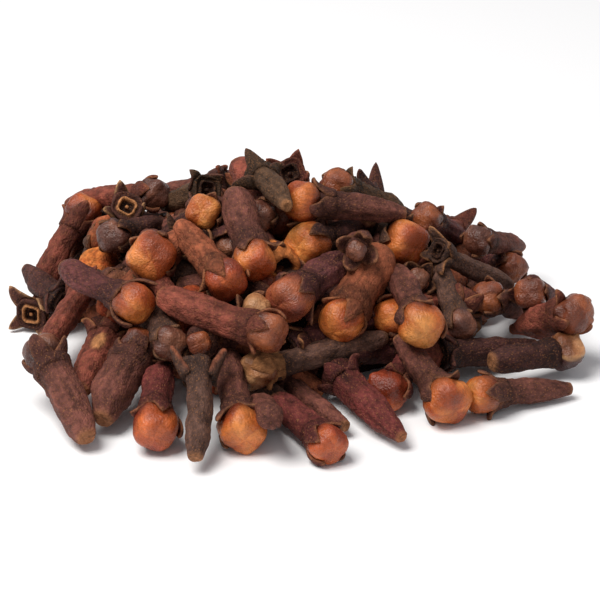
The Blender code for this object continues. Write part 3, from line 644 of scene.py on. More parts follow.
def sight_line(pixel):
    """The direction from the eye through a pixel."""
    line = FOCAL_PIXELS * AHEAD
    line = line + (pixel[0] - PICTURE_MIDDLE) * ACROSS - (pixel[1] - PICTURE_MIDDLE) * UPWARD
    return line / np.linalg.norm(line)


def in_picture(points):
    """Each point's pixel, and its depth in front of the eye."""
    away = points - EYE
    depth = away @ AHEAD
    right = PICTURE_MIDDLE + FOCAL_PIXELS * (away @ ACROSS) / depth
    down = PICTURE_MIDDLE - FOCAL_PIXELS * (away @ UPWARD) / depth
    return right, down, depth


def discs_of(balls, radii):
    """The discs that balls make in the picture: pixels across and down, radius, and depth."""
    right, down, depth = in_picture(balls)
    return right, down, FOCAL_PIXELS * radii / depth, depth


def at_height(pixel, height):
    line = sight_line(pixel)
    return EYE + line * (height - EYE[2]) / line[2]


def on_skin(pixel):
    """Where a line of sight first meets the skin, or where it passes closest over it."""
    line = sight_line(pixel)
    steps = np.arange(VIEW_DISTANCE - SEARCH_HALF, VIEW_DISTANCE + SEARCH_HALF, SEARCH_STEP)
    points = EYE + steps[:, None] * line
    above = points[:, 2] - skin_height(points[:, 0], points[:, 1]) - OVER_SKIN
    if (above <= 0.0).any():
        return points[int(np.argmax(above <= 0.0))]
    over_floor = points[:, 2] > 0.0
    return points[over_floor][int(np.argmin(above[over_floor]))]


@dataclass
class Clove:
    """A placed clove: `head` is the bud's middle or the open rim's, `foot` the stem's end."""
    kind: str
    head: np.ndarray
    foot: np.ndarray
    sepal: np.ndarray
    stem: float
    bud: float
    layer: str
    lines: tuple = None
    propped: bool = False
    name: str = ""
    look: tuple = None
    bow: tuple = None
    offset: np.ndarray = None
    foot_share: float = 1.0

    @property
    def reach(self):
        return np.linalg.norm(self.head - self.foot)

    @property
    def ball_radii(self):
        head = self.stem * OPEN_HEAD_TO_STEM if self.kind == "open" else self.bud
        return np.append(self.stem * STEM_TAPER, head)

    @property
    def balls(self):
        return self.foot + BALL_AT[:, None] * (self.head - self.foot)


def head_room(kind, bud):
    """From the head point to the clove's tip."""
    return OPEN_RIM if kind == "open" else bud


def place_seen(seen):
    """One end goes to its place on its line of sight, and the other to the clove's length from it."""
    head_line = sight_line(seen.head)
    foot_line = sight_line(seen.foot)
    if seen.foot_high is not None:
        start = at_height(seen.foot, seen.foot_high)
        line = head_line
    elif seen.head_high is not None:
        start = at_height(seen.head, seen.head_high)
        line = foot_line
    else:
        start = on_skin(seen.head) + seen.sink * head_line
        line = foot_line
    reach = seen.length - head_room(seen.kind, seen.bud)
    nearest = EYE + ((start - EYE) @ line) * line
    aside = np.linalg.norm(nearest - start)
    end = nearest + seen.lean * math.sqrt(max(reach * reach - aside * aside, 0.0)) * line
    head, foot = (end, start) if seen.foot_high is not None else (start, end)
    tip_depth = (head - EYE) @ AHEAD
    tip_line = sight_line(seen.sepal)
    sepal = EYE + tip_line * tip_depth / (tip_line @ AHEAD) - head
    propped = seen.head_high is not None or seen.foot_high is not None
    lines = (head_line, foot_line)
    return Clove(seen.kind, head, foot, sepal, seen.stem, seen.bud, "seen", lines, propped, seen.name)


def draw_along(draw, middle, along, normal, tilts, layer):
    """A clove of chance kind, size and tilt, which lies along a surface with its middle here."""
    along /= np.linalg.norm(along)
    tilt = math.radians(draw.uniform(*tilts))
    way = along * math.cos(tilt) + normal * math.sin(tilt)
    kind = draw.choice(FILL_KINDS)
    bud = draw.uniform(*FILL_BUD)
    stem = draw.uniform(*FILL_STEM)
    half = 0.5 * (draw.uniform(*FILL_LENGTH) - head_room(kind, bud))
    sepal = np.cross(way, (draw.uniform(-1, 1), draw.uniform(-1, 1), draw.uniform(-1, 1)))
    return Clove(kind, middle + half * way, middle - half * way, sepal, stem, bud, layer)


def draw_filling(draw, depth_under, steepest):
    """A clove that lies along the skin, somewhere, turned and tilted by chance."""
    x = draw.uniform(*FILL_X)
    y = draw.uniform(*FILL_Y)
    if skin_height(x, y) <= 0.0:
        return None
    slope_x = (skin_height(x + SLOPE_STEP, y) - skin_height(x - SLOPE_STEP, y)) / (2 * SLOPE_STEP)
    slope_y = (skin_height(x, y + SLOPE_STEP) - skin_height(x, y - SLOPE_STEP)) / (2 * SLOPE_STEP)
    normal = np.array((-slope_x, -slope_y, 1.0))
    normal /= np.linalg.norm(normal)
    turn = draw.uniform(0.0, 2 * math.pi)
    along = np.cross(normal, (math.cos(turn), math.sin(turn), TURN_RISE))
    middle = np.array((x, y, skin_height(x, y))) - depth_under * normal
    return draw_along(draw, middle, along, normal, (LEAST_TILT, steepest), "fill")


def outside_footprint(clove):
    """Whether a filling clove reaches out too far at the back or at a side."""
    reach = np.abs(clove.balls[:, 0]) + clove.ball_radii
    return bool((reach > FILL_SIDE).any() or (clove.balls[:, 1] + clove.ball_radii > FILL_BACK).any())


def lifted(clove):
    """Lifts a filling clove off the floor, unless it lies too deep in it or too far out."""
    lift = max(0.0, float((clove.ball_radii - clove.balls[:, 2]).max()))
    if lift > FILL_LIFT or outside_footprint(clove):
        return False
    clove.head[2] += lift
    clove.foot[2] += lift
    return True


def above_outline(clove):
    """How many pixels a clove rises over the heap's upper outline in the picture."""
    right, down, size, _ = discs_of(clove.balls, clove.ball_radii)
    return float((np.interp(right, *zip(*UPPER_OUTLINE)) - down + size).max())


def hides_seen(clove, seen_balls, seen_radii, nearer):
    """Whether a clove covers one of the picture's and is nearer to the eye by so much."""
    right, down, size, depth = discs_of(clove.balls, clove.ball_radii)
    other_right, other_down, other_size, other_depth = discs_of(seen_balls, seen_radii)
    apart = np.hypot(right[:, None] - other_right[None], down[:, None] - other_down[None])
    covers = apart < COVERING * (size[:, None] + other_size[None])
    return bool((covers & (depth[:, None] < other_depth[None] - nearer)).any())


def outside_heap(clove):
    """Whether a filling clove would show where the picture has bare floor."""
    right, down, size, _ = discs_of(clove.balls, clove.ball_radii)
    for columns, rows in BARE_PATCHES.values():
        over_columns = (right + size > columns[0]) & (right - size < columns[1])
        over_rows = (down + size > rows[0]) & (down - size < rows[1])
        if (over_columns & over_rows).any():
            return True
    lower = np.interp(right, *zip(*LOWER_OUTLINE))
    if above_outline(clove) > 0.0 or (down + size > lower).any():
        return True
    past_left = right - size < UPPER_OUTLINE[0][0]
    past_right = right + size > UPPER_OUTLINE[-1][0]
    return bool((past_left | past_right).any())


def spoils_picture(clove, seen_balls, seen_radii):
    """Whether a filling clove would show where the picture has bare floor or another clove."""
    return outside_heap(clove) or hides_seen(clove, seen_balls, seen_radii, -BEHIND)


def least_gap(clove, balls, radii):
    """The smallest gap between a clove's balls and others, negative where they overlap."""
    apart = np.linalg.norm(clove.balls[:, None] - balls[None], axis=2)
    return float((apart - clove.ball_radii[:, None] - radii[None]).min())


def stack_balls(cloves):
    return np.concatenate([c.balls for c in cloves]), np.concatenate([c.ball_radii for c in cloves])


def fill_heap(cloves):
    """Adds filling cloves layer by layer, where they fit between those that are there."""
    draw = random.Random(SEED)
    seen_balls, seen_radii = stack_balls(cloves)
    filled = list(cloves)
    for layer, depth_under, spacing, overlap, steepest in FILL_LAYERS:
        middles = []
        for _ in range(FILL_TRIES):
            clove = draw_filling(draw, depth_under, steepest)
            if clove is None:
                continue
            middle = 0.5 * (clove.head + clove.foot)
            if any(np.linalg.norm(middle - other) < spacing for other in middles):
                continue
            if not lifted(clove):
                continue
            if least_gap(clove, *stack_balls(filled)) < -overlap:
                continue
            if spoils_picture(clove, seen_balls, seen_radii):
                continue
            clove.layer = layer
            middles.append(middle)
            filled.append(clove)
    return filled


def settle(cloves, rounds):
    """Lets the cloves sink until they touch, and pushes them out of each other.

    The cloves of the picture sink along their lines of sight, the filling ones straight down.
    """
    heads = np.array([c.head for c in cloves])
    feet = np.array([c.foot for c in cloves])
    radii = np.array([c.ball_radii for c in cloves])
    reach = np.linalg.norm(heads - feet, axis=1)
    seen = np.array([c.lines is not None for c in cloves])
    down = np.array((0.0, 0.0, -1.0))
    head_lines = np.array([down if c.lines is None else c.lines[0] for c in cloves])
    foot_lines = np.array([down if c.lines is None else c.lines[1] for c in cloves])
    first_heads, first_feet = heads.copy(), feet.copy()
    free = np.array([not c.propped for c in cloves])[:, None]
    for turn in range(rounds):
        balls = feet[:, None] + BALL_AT[None, :, None] * (heads - feet)[:, None]
        middles = 0.5 * (heads + feet)
        close = np.linalg.norm(middles[:, None] - middles[None], axis=2) < NEAR_ENOUGH
        one, other = np.nonzero(np.triu(close, 1))
        gap = balls[one][:, :, None] - balls[other][:, None, :]
        far = np.linalg.norm(gap, axis=3) + 1e-9
        over = np.maximum(radii[one][:, :, None] + radii[other][:, None, :] - far, 0.0)
        push = gap * (over / far)[..., None]
        share = np.full(len(one), 0.5)
        share[seen[one] & ~seen[other]] = SEEN_GIVES_WAY
        share[~seen[one] & seen[other]] = 1.0 - SEEN_GIVES_WAY
        head_move = np.zeros_like(heads)
        foot_move = np.zeros_like(feet)
        touches = np.zeros(len(cloves))
        for who, sign, axis, part in ((one, 1.0, 2, share), (other, -1.0, 1, 1.0 - share)):
            each = sign * push.sum(axis=axis) * part[:, None, None]
            np.add.at(head_move, who, (each * BALL_AT[None, :, None]).sum(axis=1))
            np.add.at(foot_move, who, (each * (1.0 - BALL_AT)[None, :, None]).sum(axis=1))
            np.add.at(touches, who, (over > 0.0).any(axis=axis).sum(axis=1))
        ease = (PUSH / np.maximum(touches, 1.0))[:, None]
        for move, ends, start, lines, aside in (
            (head_move, heads, first_heads, head_lines, HEAD_ASIDE),
            (foot_move, feet, first_feet, foot_lines, FOOT_ASIDE),
        ):
            move *= ease
            along = (move * lines).sum(axis=1)[:, None] * lines
            drift = ends - start
            sunk = (drift * lines).sum(axis=1)[:, None]
            drift = drift - sunk * lines
            kept = along + aside * (move - along) - BACK_TO_LINE * drift
            kept -= np.where(free, 0.0, BACK_TO_PLACE) * sunk * lines
            move[seen] = kept[seen]
            sinking = free & (sunk < SINK_LIMIT) & (turn < SINKING_ROUNDS * rounds)
            ends += move + np.where(sinking, SINK_STEP, 0.0) * lines
            ratio = np.linalg.norm((ends - CORE_MIDDLE) / CORE_HALF, axis=1)[:, None]
            out = (ends - CORE_MIDDLE) * (1.0 / np.maximum(ratio, 0.1) - 1.0)
            ends += np.where(ratio < 1.0, CORE_PUSH * out, 0.0)
        way = heads - feet
        long = np.linalg.norm(way, axis=1)
        mend = ((reach - long) / long)[:, None] * way
        head_share = np.where(seen, HEAD_MENDS, 0.5)[:, None]
        heads += mend * head_share
        feet -= mend * (1.0 - head_share)
        heads[:, 2] = np.maximum(heads[:, 2], radii[:, -1])
        feet[:, 2] = np.maximum(feet[:, 2], radii[:, 0])
        # rounding keeps the outcome the same on any computer
        heads = np.round(heads, 6)
        feet = np.round(feet, 6)
    for clove, head, foot in zip(cloves, heads, feet):
        clove.head = head
        clove.foot = foot


def in_core(clove):
    ratio = np.linalg.norm((clove.balls - CORE_MIDDLE) / CORE_HALF, axis=1)
    return bool((ratio < CORE_TOUCH).any())


def pull_in(clove, balls, radii):
    """Moves a clove along its shortest gap to others, and up again where it sinks into the floor."""
    apart = clove.balls[:, None] - balls[None]
    far = np.linalg.norm(apart, axis=2)
    gap = far - clove.ball_radii[:, None] - radii[None]
    mine, theirs = np.unravel_index(int(np.argmin(gap)), gap.shape)
    shift = -apart[mine, theirs] / far[mine, theirs] * (gap[mine, theirs] + TOUCH)
    low = (clove.balls[:, 2] + shift[2] - clove.ball_radii)[[0, -1]].min()
    shift[2] += max(0.0, -low)
    clove.head = clove.head + shift
    clove.foot = clove.foot + shift


def attach(cloves):
    """Moves each clove, or group, that touches nothing up to the rest of the heap."""
    joined = [c for c in cloves if in_core(c)]
    loose = [c for c in cloves if not in_core(c)]
    while loose:
        balls, radii = stack_balls(joined)
        gaps = [least_gap(c, balls, radii) for c in loose]
        clove = loose.pop(int(np.argmin(gaps)))
        for _ in range(PULL_TRIES):
            if least_gap(clove, balls, radii) < NEAR_TOUCH - TOUCH:
                break
            pull_in(clove, balls, radii)
        joined.append(clove)


def draw_round_core(draw, out):
    """A clove that lies along the core, somewhere over the floor."""
    turn = draw.uniform(0.0, 2 * math.pi)
    rise = draw.uniform(0.0, 1.0)
    level = math.sqrt(1.0 - rise * rise)
    spot = np.array((level * math.cos(turn), level * math.sin(turn), rise))
    normal = spot / CORE_HALF
    normal /= np.linalg.norm(normal)
    along = np.cross(normal, (draw.gauss(0, 1), draw.gauss(0, 1), draw.gauss(0, 1)))
    middle = CORE_MIDDLE + CORE_HALF * spot + out * normal
    return draw_along(draw, middle, along, normal, (-INNER_TILT, INNER_TILT), "inner")


def discs(clove):
    """Which of the picture's pixels, every few, each ball of a clove covers, and its depth."""
    every_few = slice(0, 2 * PICTURE_MIDDLE, DEPTH_STEP)
    rows, columns = np.mgrid[every_few, every_few]
    for x, y, wide, far in zip(*discs_of(clove.balls, clove.ball_radii)):
        yield np.hypot(columns - x, rows - y) < wide, far


def nearest_depths(cloves):
    """The depth of the nearest clove at every few pixels of the picture."""
    side = len(np.arange(0, 2 * PICTURE_MIDDLE, DEPTH_STEP))
    nearest = np.full((side, side), np.inf)
    for clove in cloves:
        for disc, far in discs(clove):
            nearest[disc] = np.minimum(nearest[disc], far)
    return nearest


def share_in_sight(clove, nearest):
    """How much of a clove lies in front of those of the picture."""
    covered = 0
    before = 0
    for disc, far in discs(clove):
        covered += disc.sum()
        before += (np.isfinite(nearest[disc]) & (nearest[disc] > far)).sum()
    return before / max(covered, 1)


def fill_gaps(cloves):
    """Adds cloves round the core, so that it doesn't show between those above it."""
    draw = random.Random(SEED)
    nearest = nearest_depths([c for c in cloves if c.layer == "seen"])
    filled = list(cloves)
    middles = []
    for out in INNER_SHELLS:
        for _ in range(INNER_TRIES):
            clove = draw_round_core(draw, out)
            middle = 0.5 * (clove.head + clove.foot)
            if any(np.linalg.norm(middle - other) < INNER_APART for other in middles):
                continue
            if not lifted(clove):
                continue
            balls = clove.balls
            over = balls[:, 2] + clove.ball_radii - skin_height(balls[:, 0], balls[:, 1])
            if (over > OVER_SKIN_AT_MOST).any() or outside_heap(clove):
                continue
            if least_gap(clove, *stack_balls(filled)) < -INNER_OVERLAP:
                continue
            if share_in_sight(clove, nearest) > IN_SIGHT:
                continue
            middles.append(middle)
            filled.append(clove)
    return filled


def lay_out_heap():
    """All the heap's cloves, at rest."""
    cloves = [place_seen(seen) for seen in SEEN]
    settle(cloves, SEEN_ROUNDS)
    cloves = fill_heap(cloves)
    settle(cloves, ALL_ROUNDS)
    balls, radii = stack_balls([c for c in cloves if c.layer == "seen"])

    def in_the_way(clove):
        return above_outline(clove) > OVER_OUTLINE or hides_seen(clove, balls, radii, IN_FRONT)

    cloves = [c for c in cloves if c.layer == "seen" or not in_the_way(c)]
    attach(cloves)
    cloves = fill_gaps(cloves)
    for clove in cloves:
        clove.head = clove.head + TO_CENTRE
        clove.foot = clove.foot + TO_CENTRE
    return cloves


def clove_axes(clove):
    axis = (clove.head - clove.foot) / clove.reach
    side = clove.sepal - (clove.sepal @ axis) * axis
    side /= np.linalg.norm(side)
    return axis, side


def linear(tone):
    """An sRGB colour from 0 to 255, as linear values."""
    share = np.array(tone) / 255.0
    return np.where(share <= 0.04045, share / 12.92, ((share + 0.055) / 1.055) ** 2.4)


def mix(one, other, share):
    share = np.clip(share, 0.0, 1.0)[..., None]
    return one * (1.0 - share) + other * share


def noise(points):
    """Smooth noise between -1 and 1, with features about one unit wide."""
    cell = np.floor(points).astype(int)
    part = points - cell
    part = part * part * (3.0 - 2.0 * part)
    total = np.zeros(points.shape[:-1])
    for corner in np.ndindex(2, 2, 2):
        weight = np.prod(np.where(np.array(corner) == 1, part, 1.0 - part), axis=-1)
        spot = np.moveaxis((cell + corner) % LATTICE_SIDE, -1, 0)
        total += weight * LATTICE[tuple(spot)]
    return total


def ring(points):
    """Angles all round, evenly spaced."""
    return np.linspace(0.0, 2.0 * math.pi, points, endpoint=False)[None]


def ball_of(rise, turn):
    """Points of a unit ball: angles up from its lowest point, and angles round."""
    level = np.sin(rise)
    return np.stack(np.broadcast_arrays(level * np.cos(turn), level * np.sin(turn), -np.cos(rise)), -1)


def lengths_along(points):
    """How far along a line of points each of them is."""
    return np.append(0.0, np.cumsum(np.linalg.norm(np.diff(np.array(points), axis=0), axis=1)))


def through(at, knots, values):
    """A smooth curve through a few values, by cubic pieces."""
    knots = np.asarray(knots, dtype=float)
    values = np.asarray(values, dtype=float)
    slopes = np.gradient(values, knots)
    k = np.clip(np.searchsorted(knots, at, side="right") - 1, 0, len(knots) - 2)
    step = knots[k + 1] - knots[k]
    t = (at - knots[k]) / step
    from_value = (1.0 + 2.0 * t) * (1.0 - t) ** 2 * values[k] + t * (1.0 - t) ** 2 * step * slopes[k]
    to_value = t * t * (3.0 - 2.0 * t) * values[k + 1] - t * t * (1.0 - t) * step * slopes[k + 1]
    return from_value + to_value


class Piece:
    """Many small closed bodies, gathered to be one mesh."""

    def __init__(self):
        self.spots = []
        self.tints = []
        self.grains = []
        self.quads = []
        self.triangles = []
        self.count = 0

    def add(self, spots, tints, grains):
        """A body of rings, from one end to the other, closed by a point at each end."""
        rows, columns = spots.shape[:2]
        for values, kept in ((spots, self.spots), (tints, self.tints), (grains, self.grains)):
            kept.append(values.reshape(-1, 3))
            kept.append(values[[0, -1]].mean(axis=1))
        index = self.count + np.arange(rows * columns).reshape(rows, columns)
        after = np.roll(index, -1, axis=1)
        quads = np.stack((index[:-1], after[:-1], after[1:], index[1:]), axis=-1)
        self.quads += quads.reshape(-1, 4).tolist()
        first = np.full(columns, self.count + rows * columns)
        self.triangles += np.stack((after[0], index[0], first), axis=-1).tolist()
        self.triangles += np.stack((index[-1], after[-1], first + 1), axis=-1).tolist()
        self.count += rows * columns + 2

    def build(self, name, material):
        """The mesh object, put under the root body in place of the CAD heap, which it hides."""
        data = bpy.data.meshes.new(name)
        spots = np.concatenate(self.spots)
        data.from_pydata((spots * MM).tolist(), [], self.quads + self.triangles)
        data.polygons.foreach_set("use_smooth", [True] * len(data.polygons))
        tints = np.concatenate(self.tints)
        solid = np.ones((len(tints), 1))
        attribute = data.attributes.new("tint", "FLOAT_COLOR", "POINT")
        attribute.data.foreach_set("color", np.hstack((tints, solid)).ravel())
        attribute = data.attributes.new("grain", "FLOAT_VECTOR", "POINT")
        attribute.data.foreach_set("vector", np.concatenate(self.grains).ravel())
        data.materials.append(material)
        piece = bpy.data.objects.new(name, data)
        bpy.context.scene.collection.objects.link(piece)
        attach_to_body(piece, "root")
        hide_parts("clove_heap")
        return piece


def above_floor(spots):
    """Eases what would go under the floor to lie just over it."""
    low = FLOOR_SOFT * np.exp(np.minimum(spots[..., 2] / FLOOR_SOFT, 1.0) - 1.0)
    spots[..., 2] = np.maximum(np.where(spots[..., 2] < FLOOR_SOFT, low, spots[..., 2]), LEAST_HEIGHT)
    return spots


def in_heap(clove, local):
    """Points given along the clove's side, across it and along its axis, put in their place."""
    axis, side = clove_axes(clove)
    across = np.cross(axis, side)
    bend = np.sin(math.pi * np.clip(local[..., 2] / clove.reach, 0.0, 1.0))[..., None]
    bow = clove.bow[0] * side + clove.bow[1] * across
    return above_floor(clove.foot + local @ np.array((side, across, axis)) + bend * bow)


def grain_of(clove, local):
    """Coordinates for fine grain, which is drawn out along the clove."""
    return local * (1.0, 1.0, GRAIN_DRAWN_OUT) + clove.offset


def stem_knots(clove):
    """The stem's profile as height, radius, colour and relief, and where its rim is."""
    reach = clove.reach
    skin = linear(TONES[clove.look[0]])
    colours = {
        "skin": skin,
        "scar": 0.5 * (skin + linear(TONES["tan"])),
        # neck and collar: darker towards the calyx, partly its own brown and partly painted shade
        "neck": NECK_SHADE * skin,
        "collar": COLLAR_SHADE * skin,
        # inner, hollow and, where it isn't pale, ring: painted shade inside the open cup and the hollow
        # globe
        "inner": INNER_SHADE * skin,
        "hollow": linear(TONES["hollow"]),
        "edge": linear(TONES["shell"]),
        "ring": linear(TONES["tan" if clove.name in RINGED else "hollow"]),
    }
    if clove.name == HOLLOW_BUD:
        profile, unit, inside = HOLLOW_PROFILE, clove.bud, HOLLOW_INSIDE
    elif clove.kind == "open" and clove.name in BARE_HEADS:
        profile, unit, inside = ROUND_END_PROFILE, 1.0, None
    elif clove.kind == "open":
        profile, unit, inside = CUP_PROFILE, 1.0, CUP_INSIDE
    else:
        profile, unit, inside = COLLAR_PROFILE, clove.bud, None
    rows = [(high, clove.foot_share * wide, tone, relief) for high, wide, tone, relief in FOOT_PROFILE]
    rows.append((STEM_FULL_AT * reach, 1.0, "skin", 1.0))
    rows += [(reach + high * unit, wide, tone, relief) for high, wide, tone, relief in profile]
    rim = None if inside is None else len(rows) - inside
    return [(high, wide * clove.stem, colours[tone], relief) for high, wide, tone, relief in rows], rim


def turned(knots, rows, rim, inner_rows):
    """Even rings along a profile: heights, radii, colours, relief, and which are inside the rim."""
    line = np.array([(high, wide) for high, wide, _, _ in knots])
    along = lengths_along(line)
    at = np.linspace(0.0, along[-1], rows)
    inside = np.zeros(rows, dtype=bool)
    if rim is not None:
        outer = np.linspace(0.0, along[rim], rows, endpoint=False)
        at = np.append(outer, np.linspace(along[rim], along[-1], inner_rows))
        inside = np.arange(len(at)) >= rows
    colours = np.array([colour for _, _, colour, _ in knots])
    tints = np.stack([np.interp(at, along, colours[:, c]) for c in range(3)], axis=-1)
    relief = np.interp(at, along, [each for _, _, _, each in knots])
    return through(at, along, line[:, 0]), through(at, along, line[:, 1]), tints, relief, inside


def add_stem(piece, clove, draw):
    """The wrinkled stem and, on an open clove, the cup with its ring and the stub of its style."""
    reach = clove.reach
    rows, columns = STEM_GRID[clove.layer]
    knots, rim = stem_knots(clove)
    level, radius, tints, relief, inside = turned(knots, rows, rim, CUP_ROWS[clove.layer])
    level, radius, relief, inside = (each[:, None] for each in (level, radius, relief, inside))
    turn = ring(columns)
    dips = np.zeros((len(level), columns))
    for count in WRINKLES:
        start = draw.uniform(0.0, 2.0 * math.pi)
        lean = draw.uniform(-WRINKLE_LEAN, WRINKLE_LEAN)
        dips += draw.uniform(*DEPTHS) * WRINKLE_DEPTH * np.cos(count * turn + start + lean * level)
    for _ in range(FURROWS):
        line = draw.uniform(0.0, 2.0 * math.pi) + draw.uniform(-FURROW_LEAN, FURROW_LEAN) * level
        away = np.angle(np.exp(1j * (turn - line)))
        middle = draw.uniform(*FURROW_AT) * reach
        window = np.exp(-(((level - middle) / (draw.uniform(*FURROW_LONG) * reach)) ** 2))
        dips -= draw.uniform(*DEPTHS) * FURROW_DEPTH * np.exp(-((away / FURROW_WIDTH) ** 2)) * window
    round_stem = np.stack(np.broadcast_arrays(radius * np.cos(turn), radius * np.sin(turn), level), -1)
    lumps = noise(round_stem / LUMP_SIZE + clove.offset)
    grains = noise(round_stem / GRAIN_SIZE + clove.offset)
    dips += LUMP_DEPTH * lumps + GRAIN_DEPTH * grains
    angles = np.where(inside, CUP_ANGLES, FOUR_ANGLES) * np.cos(4.0 * turn)
    swell = 1.0 + relief * dips + angles
    local = round_stem * np.stack((swell, FLATTER * swell, np.ones_like(swell)), axis=-1)
    patchy = noise(round_stem / PATCH_SIZE + 2.0 * clove.offset)
    # Uneven tone in patches, and painted shade in the wrinkles, furrows and grain, lighter on the lumps
    shade = 1.0 + PATCH_SHADE * patchy + GROOVE_SHADE * relief * dips
    tints = np.clip(tints[:, None] * shade[..., None], 0.0, 1.0)
    if clove.name in TORN:
        tints = torn_patch(clove, local, tints, patchy)
    piece.add(in_heap(clove, local), tints, grain_of(clove, local))


def torn_patch(clove, local, tints, patchy):
    """A pale place on the side towards the picture's viewer, where the skin is torn off."""
    share, aside, half_length, half_width = TORN[clove.name]
    axis, side = clove_axes(clove)
    across = np.cross(axis, side)
    to_eye = EYE - 0.5 * (clove.head + clove.foot)
    to_eye = to_eye - (to_eye @ axis) * axis
    to_eye /= np.linalg.norm(to_eye)
    beside = np.cross(to_eye, axis)
    facing = local[..., :2] @ np.array((side @ to_eye, across @ to_eye))
    offset = local[..., :2] @ np.array((side @ beside, across @ beside)) - aside
    length = local[..., 2] - share * clove.reach
    out = np.hypot(length / half_length, offset / half_width) + TORN_EDGE * patchy
    cover = np.clip((1.0 - out) * TORN_SHARP, 0.0, 1.0) * (facing > 0.0)
    return mix(tints, linear(TONES["tan"]), cover)


def sepal_path(clove, quarter, draw):
    """Outward distances and heights from the stem's side to the tip of one tooth of the calyx."""
    axis, _ = clove_axes(clove)
    reach = clove.reach
    spread = math.radians(SEPAL_SPREAD[clove.kind])
    length = SEPAL_LENGTH[clove.kind] + (1.0 - SEPAL_ROOT) * clove.stem
    base = reach - (SEPAL_UNDER_RIM if clove.kind == "open" else SEPAL_UNDER_BUD * clove.bud)
    tip_out = SEPAL_ROOT * clove.stem + length * math.sin(spread)
    tip_up = base + length * math.cos(spread)
    if quarter == 0 and clove.layer == "seen":
        up = clove.sepal @ axis
        out = np.linalg.norm(clove.sepal - up * axis)
        tip_out = float(np.clip(out, TIP_OUT[0] * tip_out, TIP_OUT[1] * tip_out))
        tip_up = float(np.clip(reach + up, tip_up - TIP_UP, tip_up + TIP_UP))
    else:
        tip_out *= draw.uniform(*SEPAL_UNEVEN)
        tip_up += draw.uniform(-1.0, 1.0) * SEPAL_RISE
    if clove.name in ARMS:
        tip_out = ARMS[clove.name][0]
        tip_up = reach + ARMS[clove.name][1]
    folded = clove.kind != "open" and quarter > 0 and draw.random() < FOLDED[clove.kind]
    if folded:
        swing = math.radians(draw.uniform(*FOLDED_TO))
        tip_out = FOLDED_AWAY * clove.bud * math.sin(swing)
        tip_up = reach - FOLDED_AWAY * clove.bud * math.cos(swing)
    if clove.kind == "open":
        knots = [(wide * clove.stem, reach + high) for wide, high in CUP_SEPAL]
        bend_out = 0.5 * (CUP_BEND_OUT * clove.stem + tip_out)
        knots.append((bend_out, reach + CUP_BEND_UP + CUP_BEND_RISE * (tip_up - reach)))
    else:
        knots = [(BUD_SEPAL_OUT * clove.stem, reach - BUD_SEPAL_UNDER * clove.bud)]
        for degrees, away in BUD_SEPAL + (BUD_SEPAL_FOLD if folded else ()):
            swing = math.radians(degrees)
            far = away * clove.bud
            knots.append((far * math.sin(swing), reach - far * math.cos(swing)))
    knots.append((tip_out, tip_up))
    return knots


def add_sepal(piece, clove, quarter, draw):
    """One thick, curled tooth of the calyx, which hugs the globe or stands out from the cup."""
    rows, columns = SEPAL_GRID[clove.layer]
    knots = sepal_path(clove, quarter, draw)
    aside = 0.0 if quarter == 0 else draw.uniform(-SEPAL_ASIDE, SEPAL_ASIDE)
    if clove.name in ARMS:
        aside = ARM_TURN
    turn = 0.5 * math.pi * quarter + math.radians(aside)
    along = lengths_along(knots)
    share = np.linspace(0.0, 1.0, rows) ** SEPAL_SPACING
    at = share * along[-1]
    out = through(at, along, [knot[0] for knot in knots])
    up = through(at, along, [knot[1] for knot in knots])
    way = np.stack((np.gradient(out, at), np.gradient(up, at)))
    way /= np.linalg.norm(way, axis=0)
    wide = SEPAL_WIDE[clove.kind] * (1.0 - share ** SEPAL_TAPER) + TIP_WIDE * draw.uniform(*TIP_UNEVEN)
    wide = np.minimum(wide * WIDER.get(clove.name, 1.0), SEPAL_ROUND * math.pi * out)
    wide *= np.sqrt(np.clip((1.0 - share) * TIP_WIDE_FROM + TIP_WIDE_LEAST, 0.0, 1.0))
    thick = np.interp(share, (0.0, 1.0), SEPAL_THICK) * THICKER.get(clove.name, 1.0)
    thick = thick * np.sqrt(np.clip((1.0 - share) * TIP_THICK_FROM + TIP_THICK_LEAST, 0.0, 1.0))
    around = ring(columns)
    over = -np.cos(around)
    raised = 0.5 * thick[:, None] * np.sin(around)
    curl = draw.uniform(*SEPAL_CURL) * over ** 2 * share[:, None] * wide[:, None]
    waves = WAVES_ALONG * share[:, None] + draw.uniform(*PHASES) + WAVES_ACROSS * over
    raised = raised + curl + SEPAL_WAVE * np.sin(waves) * share[:, None]
    far = out[:, None] + raised * way[1][:, None]
    high = up[:, None] - raised * way[0][:, None]
    swing = turn + wide[:, None] * over / np.maximum(out[:, None], SEPAL_LEAST_OUT * clove.stem)
    local = np.stack((far * np.cos(swing), far * np.sin(swing), high), axis=-1)
    skin = linear(TONES[clove.look[0]])
    opened = clove.kind == "open"
    edge = linear(TONES[clove.look[1] if opened else "tan"])
    rim = np.clip((np.abs(over) - EDGE_FROM) / (1.0 - EDGE_FROM), 0.0, 1.0) * share[:, None] ** EDGE_FADE
    rim = np.maximum(rim, np.clip((share[:, None] - TIP_FROM) / (1.0 - TIP_FROM), 0.0, 1.0))
    # Darker at the root: partly the calyx's own brown, partly painted shade where the sepal meets the
    # stem and globe
    tints = mix(COLLAR_SHADE * skin, SEPAL_SHADE * skin, np.broadcast_to(share[:, None], rim.shape))
    tints = mix(tints, edge, rim * (OPEN_EDGES if opened else BUD_EDGES))
    if clove.name in PALE_HEADS:
        tints = mix(PALE_ROOT * edge, edge, np.broadcast_to(share[:, None], rim.shape))
    mottle = noise(local / SEPAL_MOTTLE_SIZE + clove.offset)
    tints = np.clip(tints * (1.0 + SEPAL_MOTTLE * mottle)[..., None], 0.0, 1.0)
    piece.add(in_heap(clove, local), tints, grain_of(clove, local))


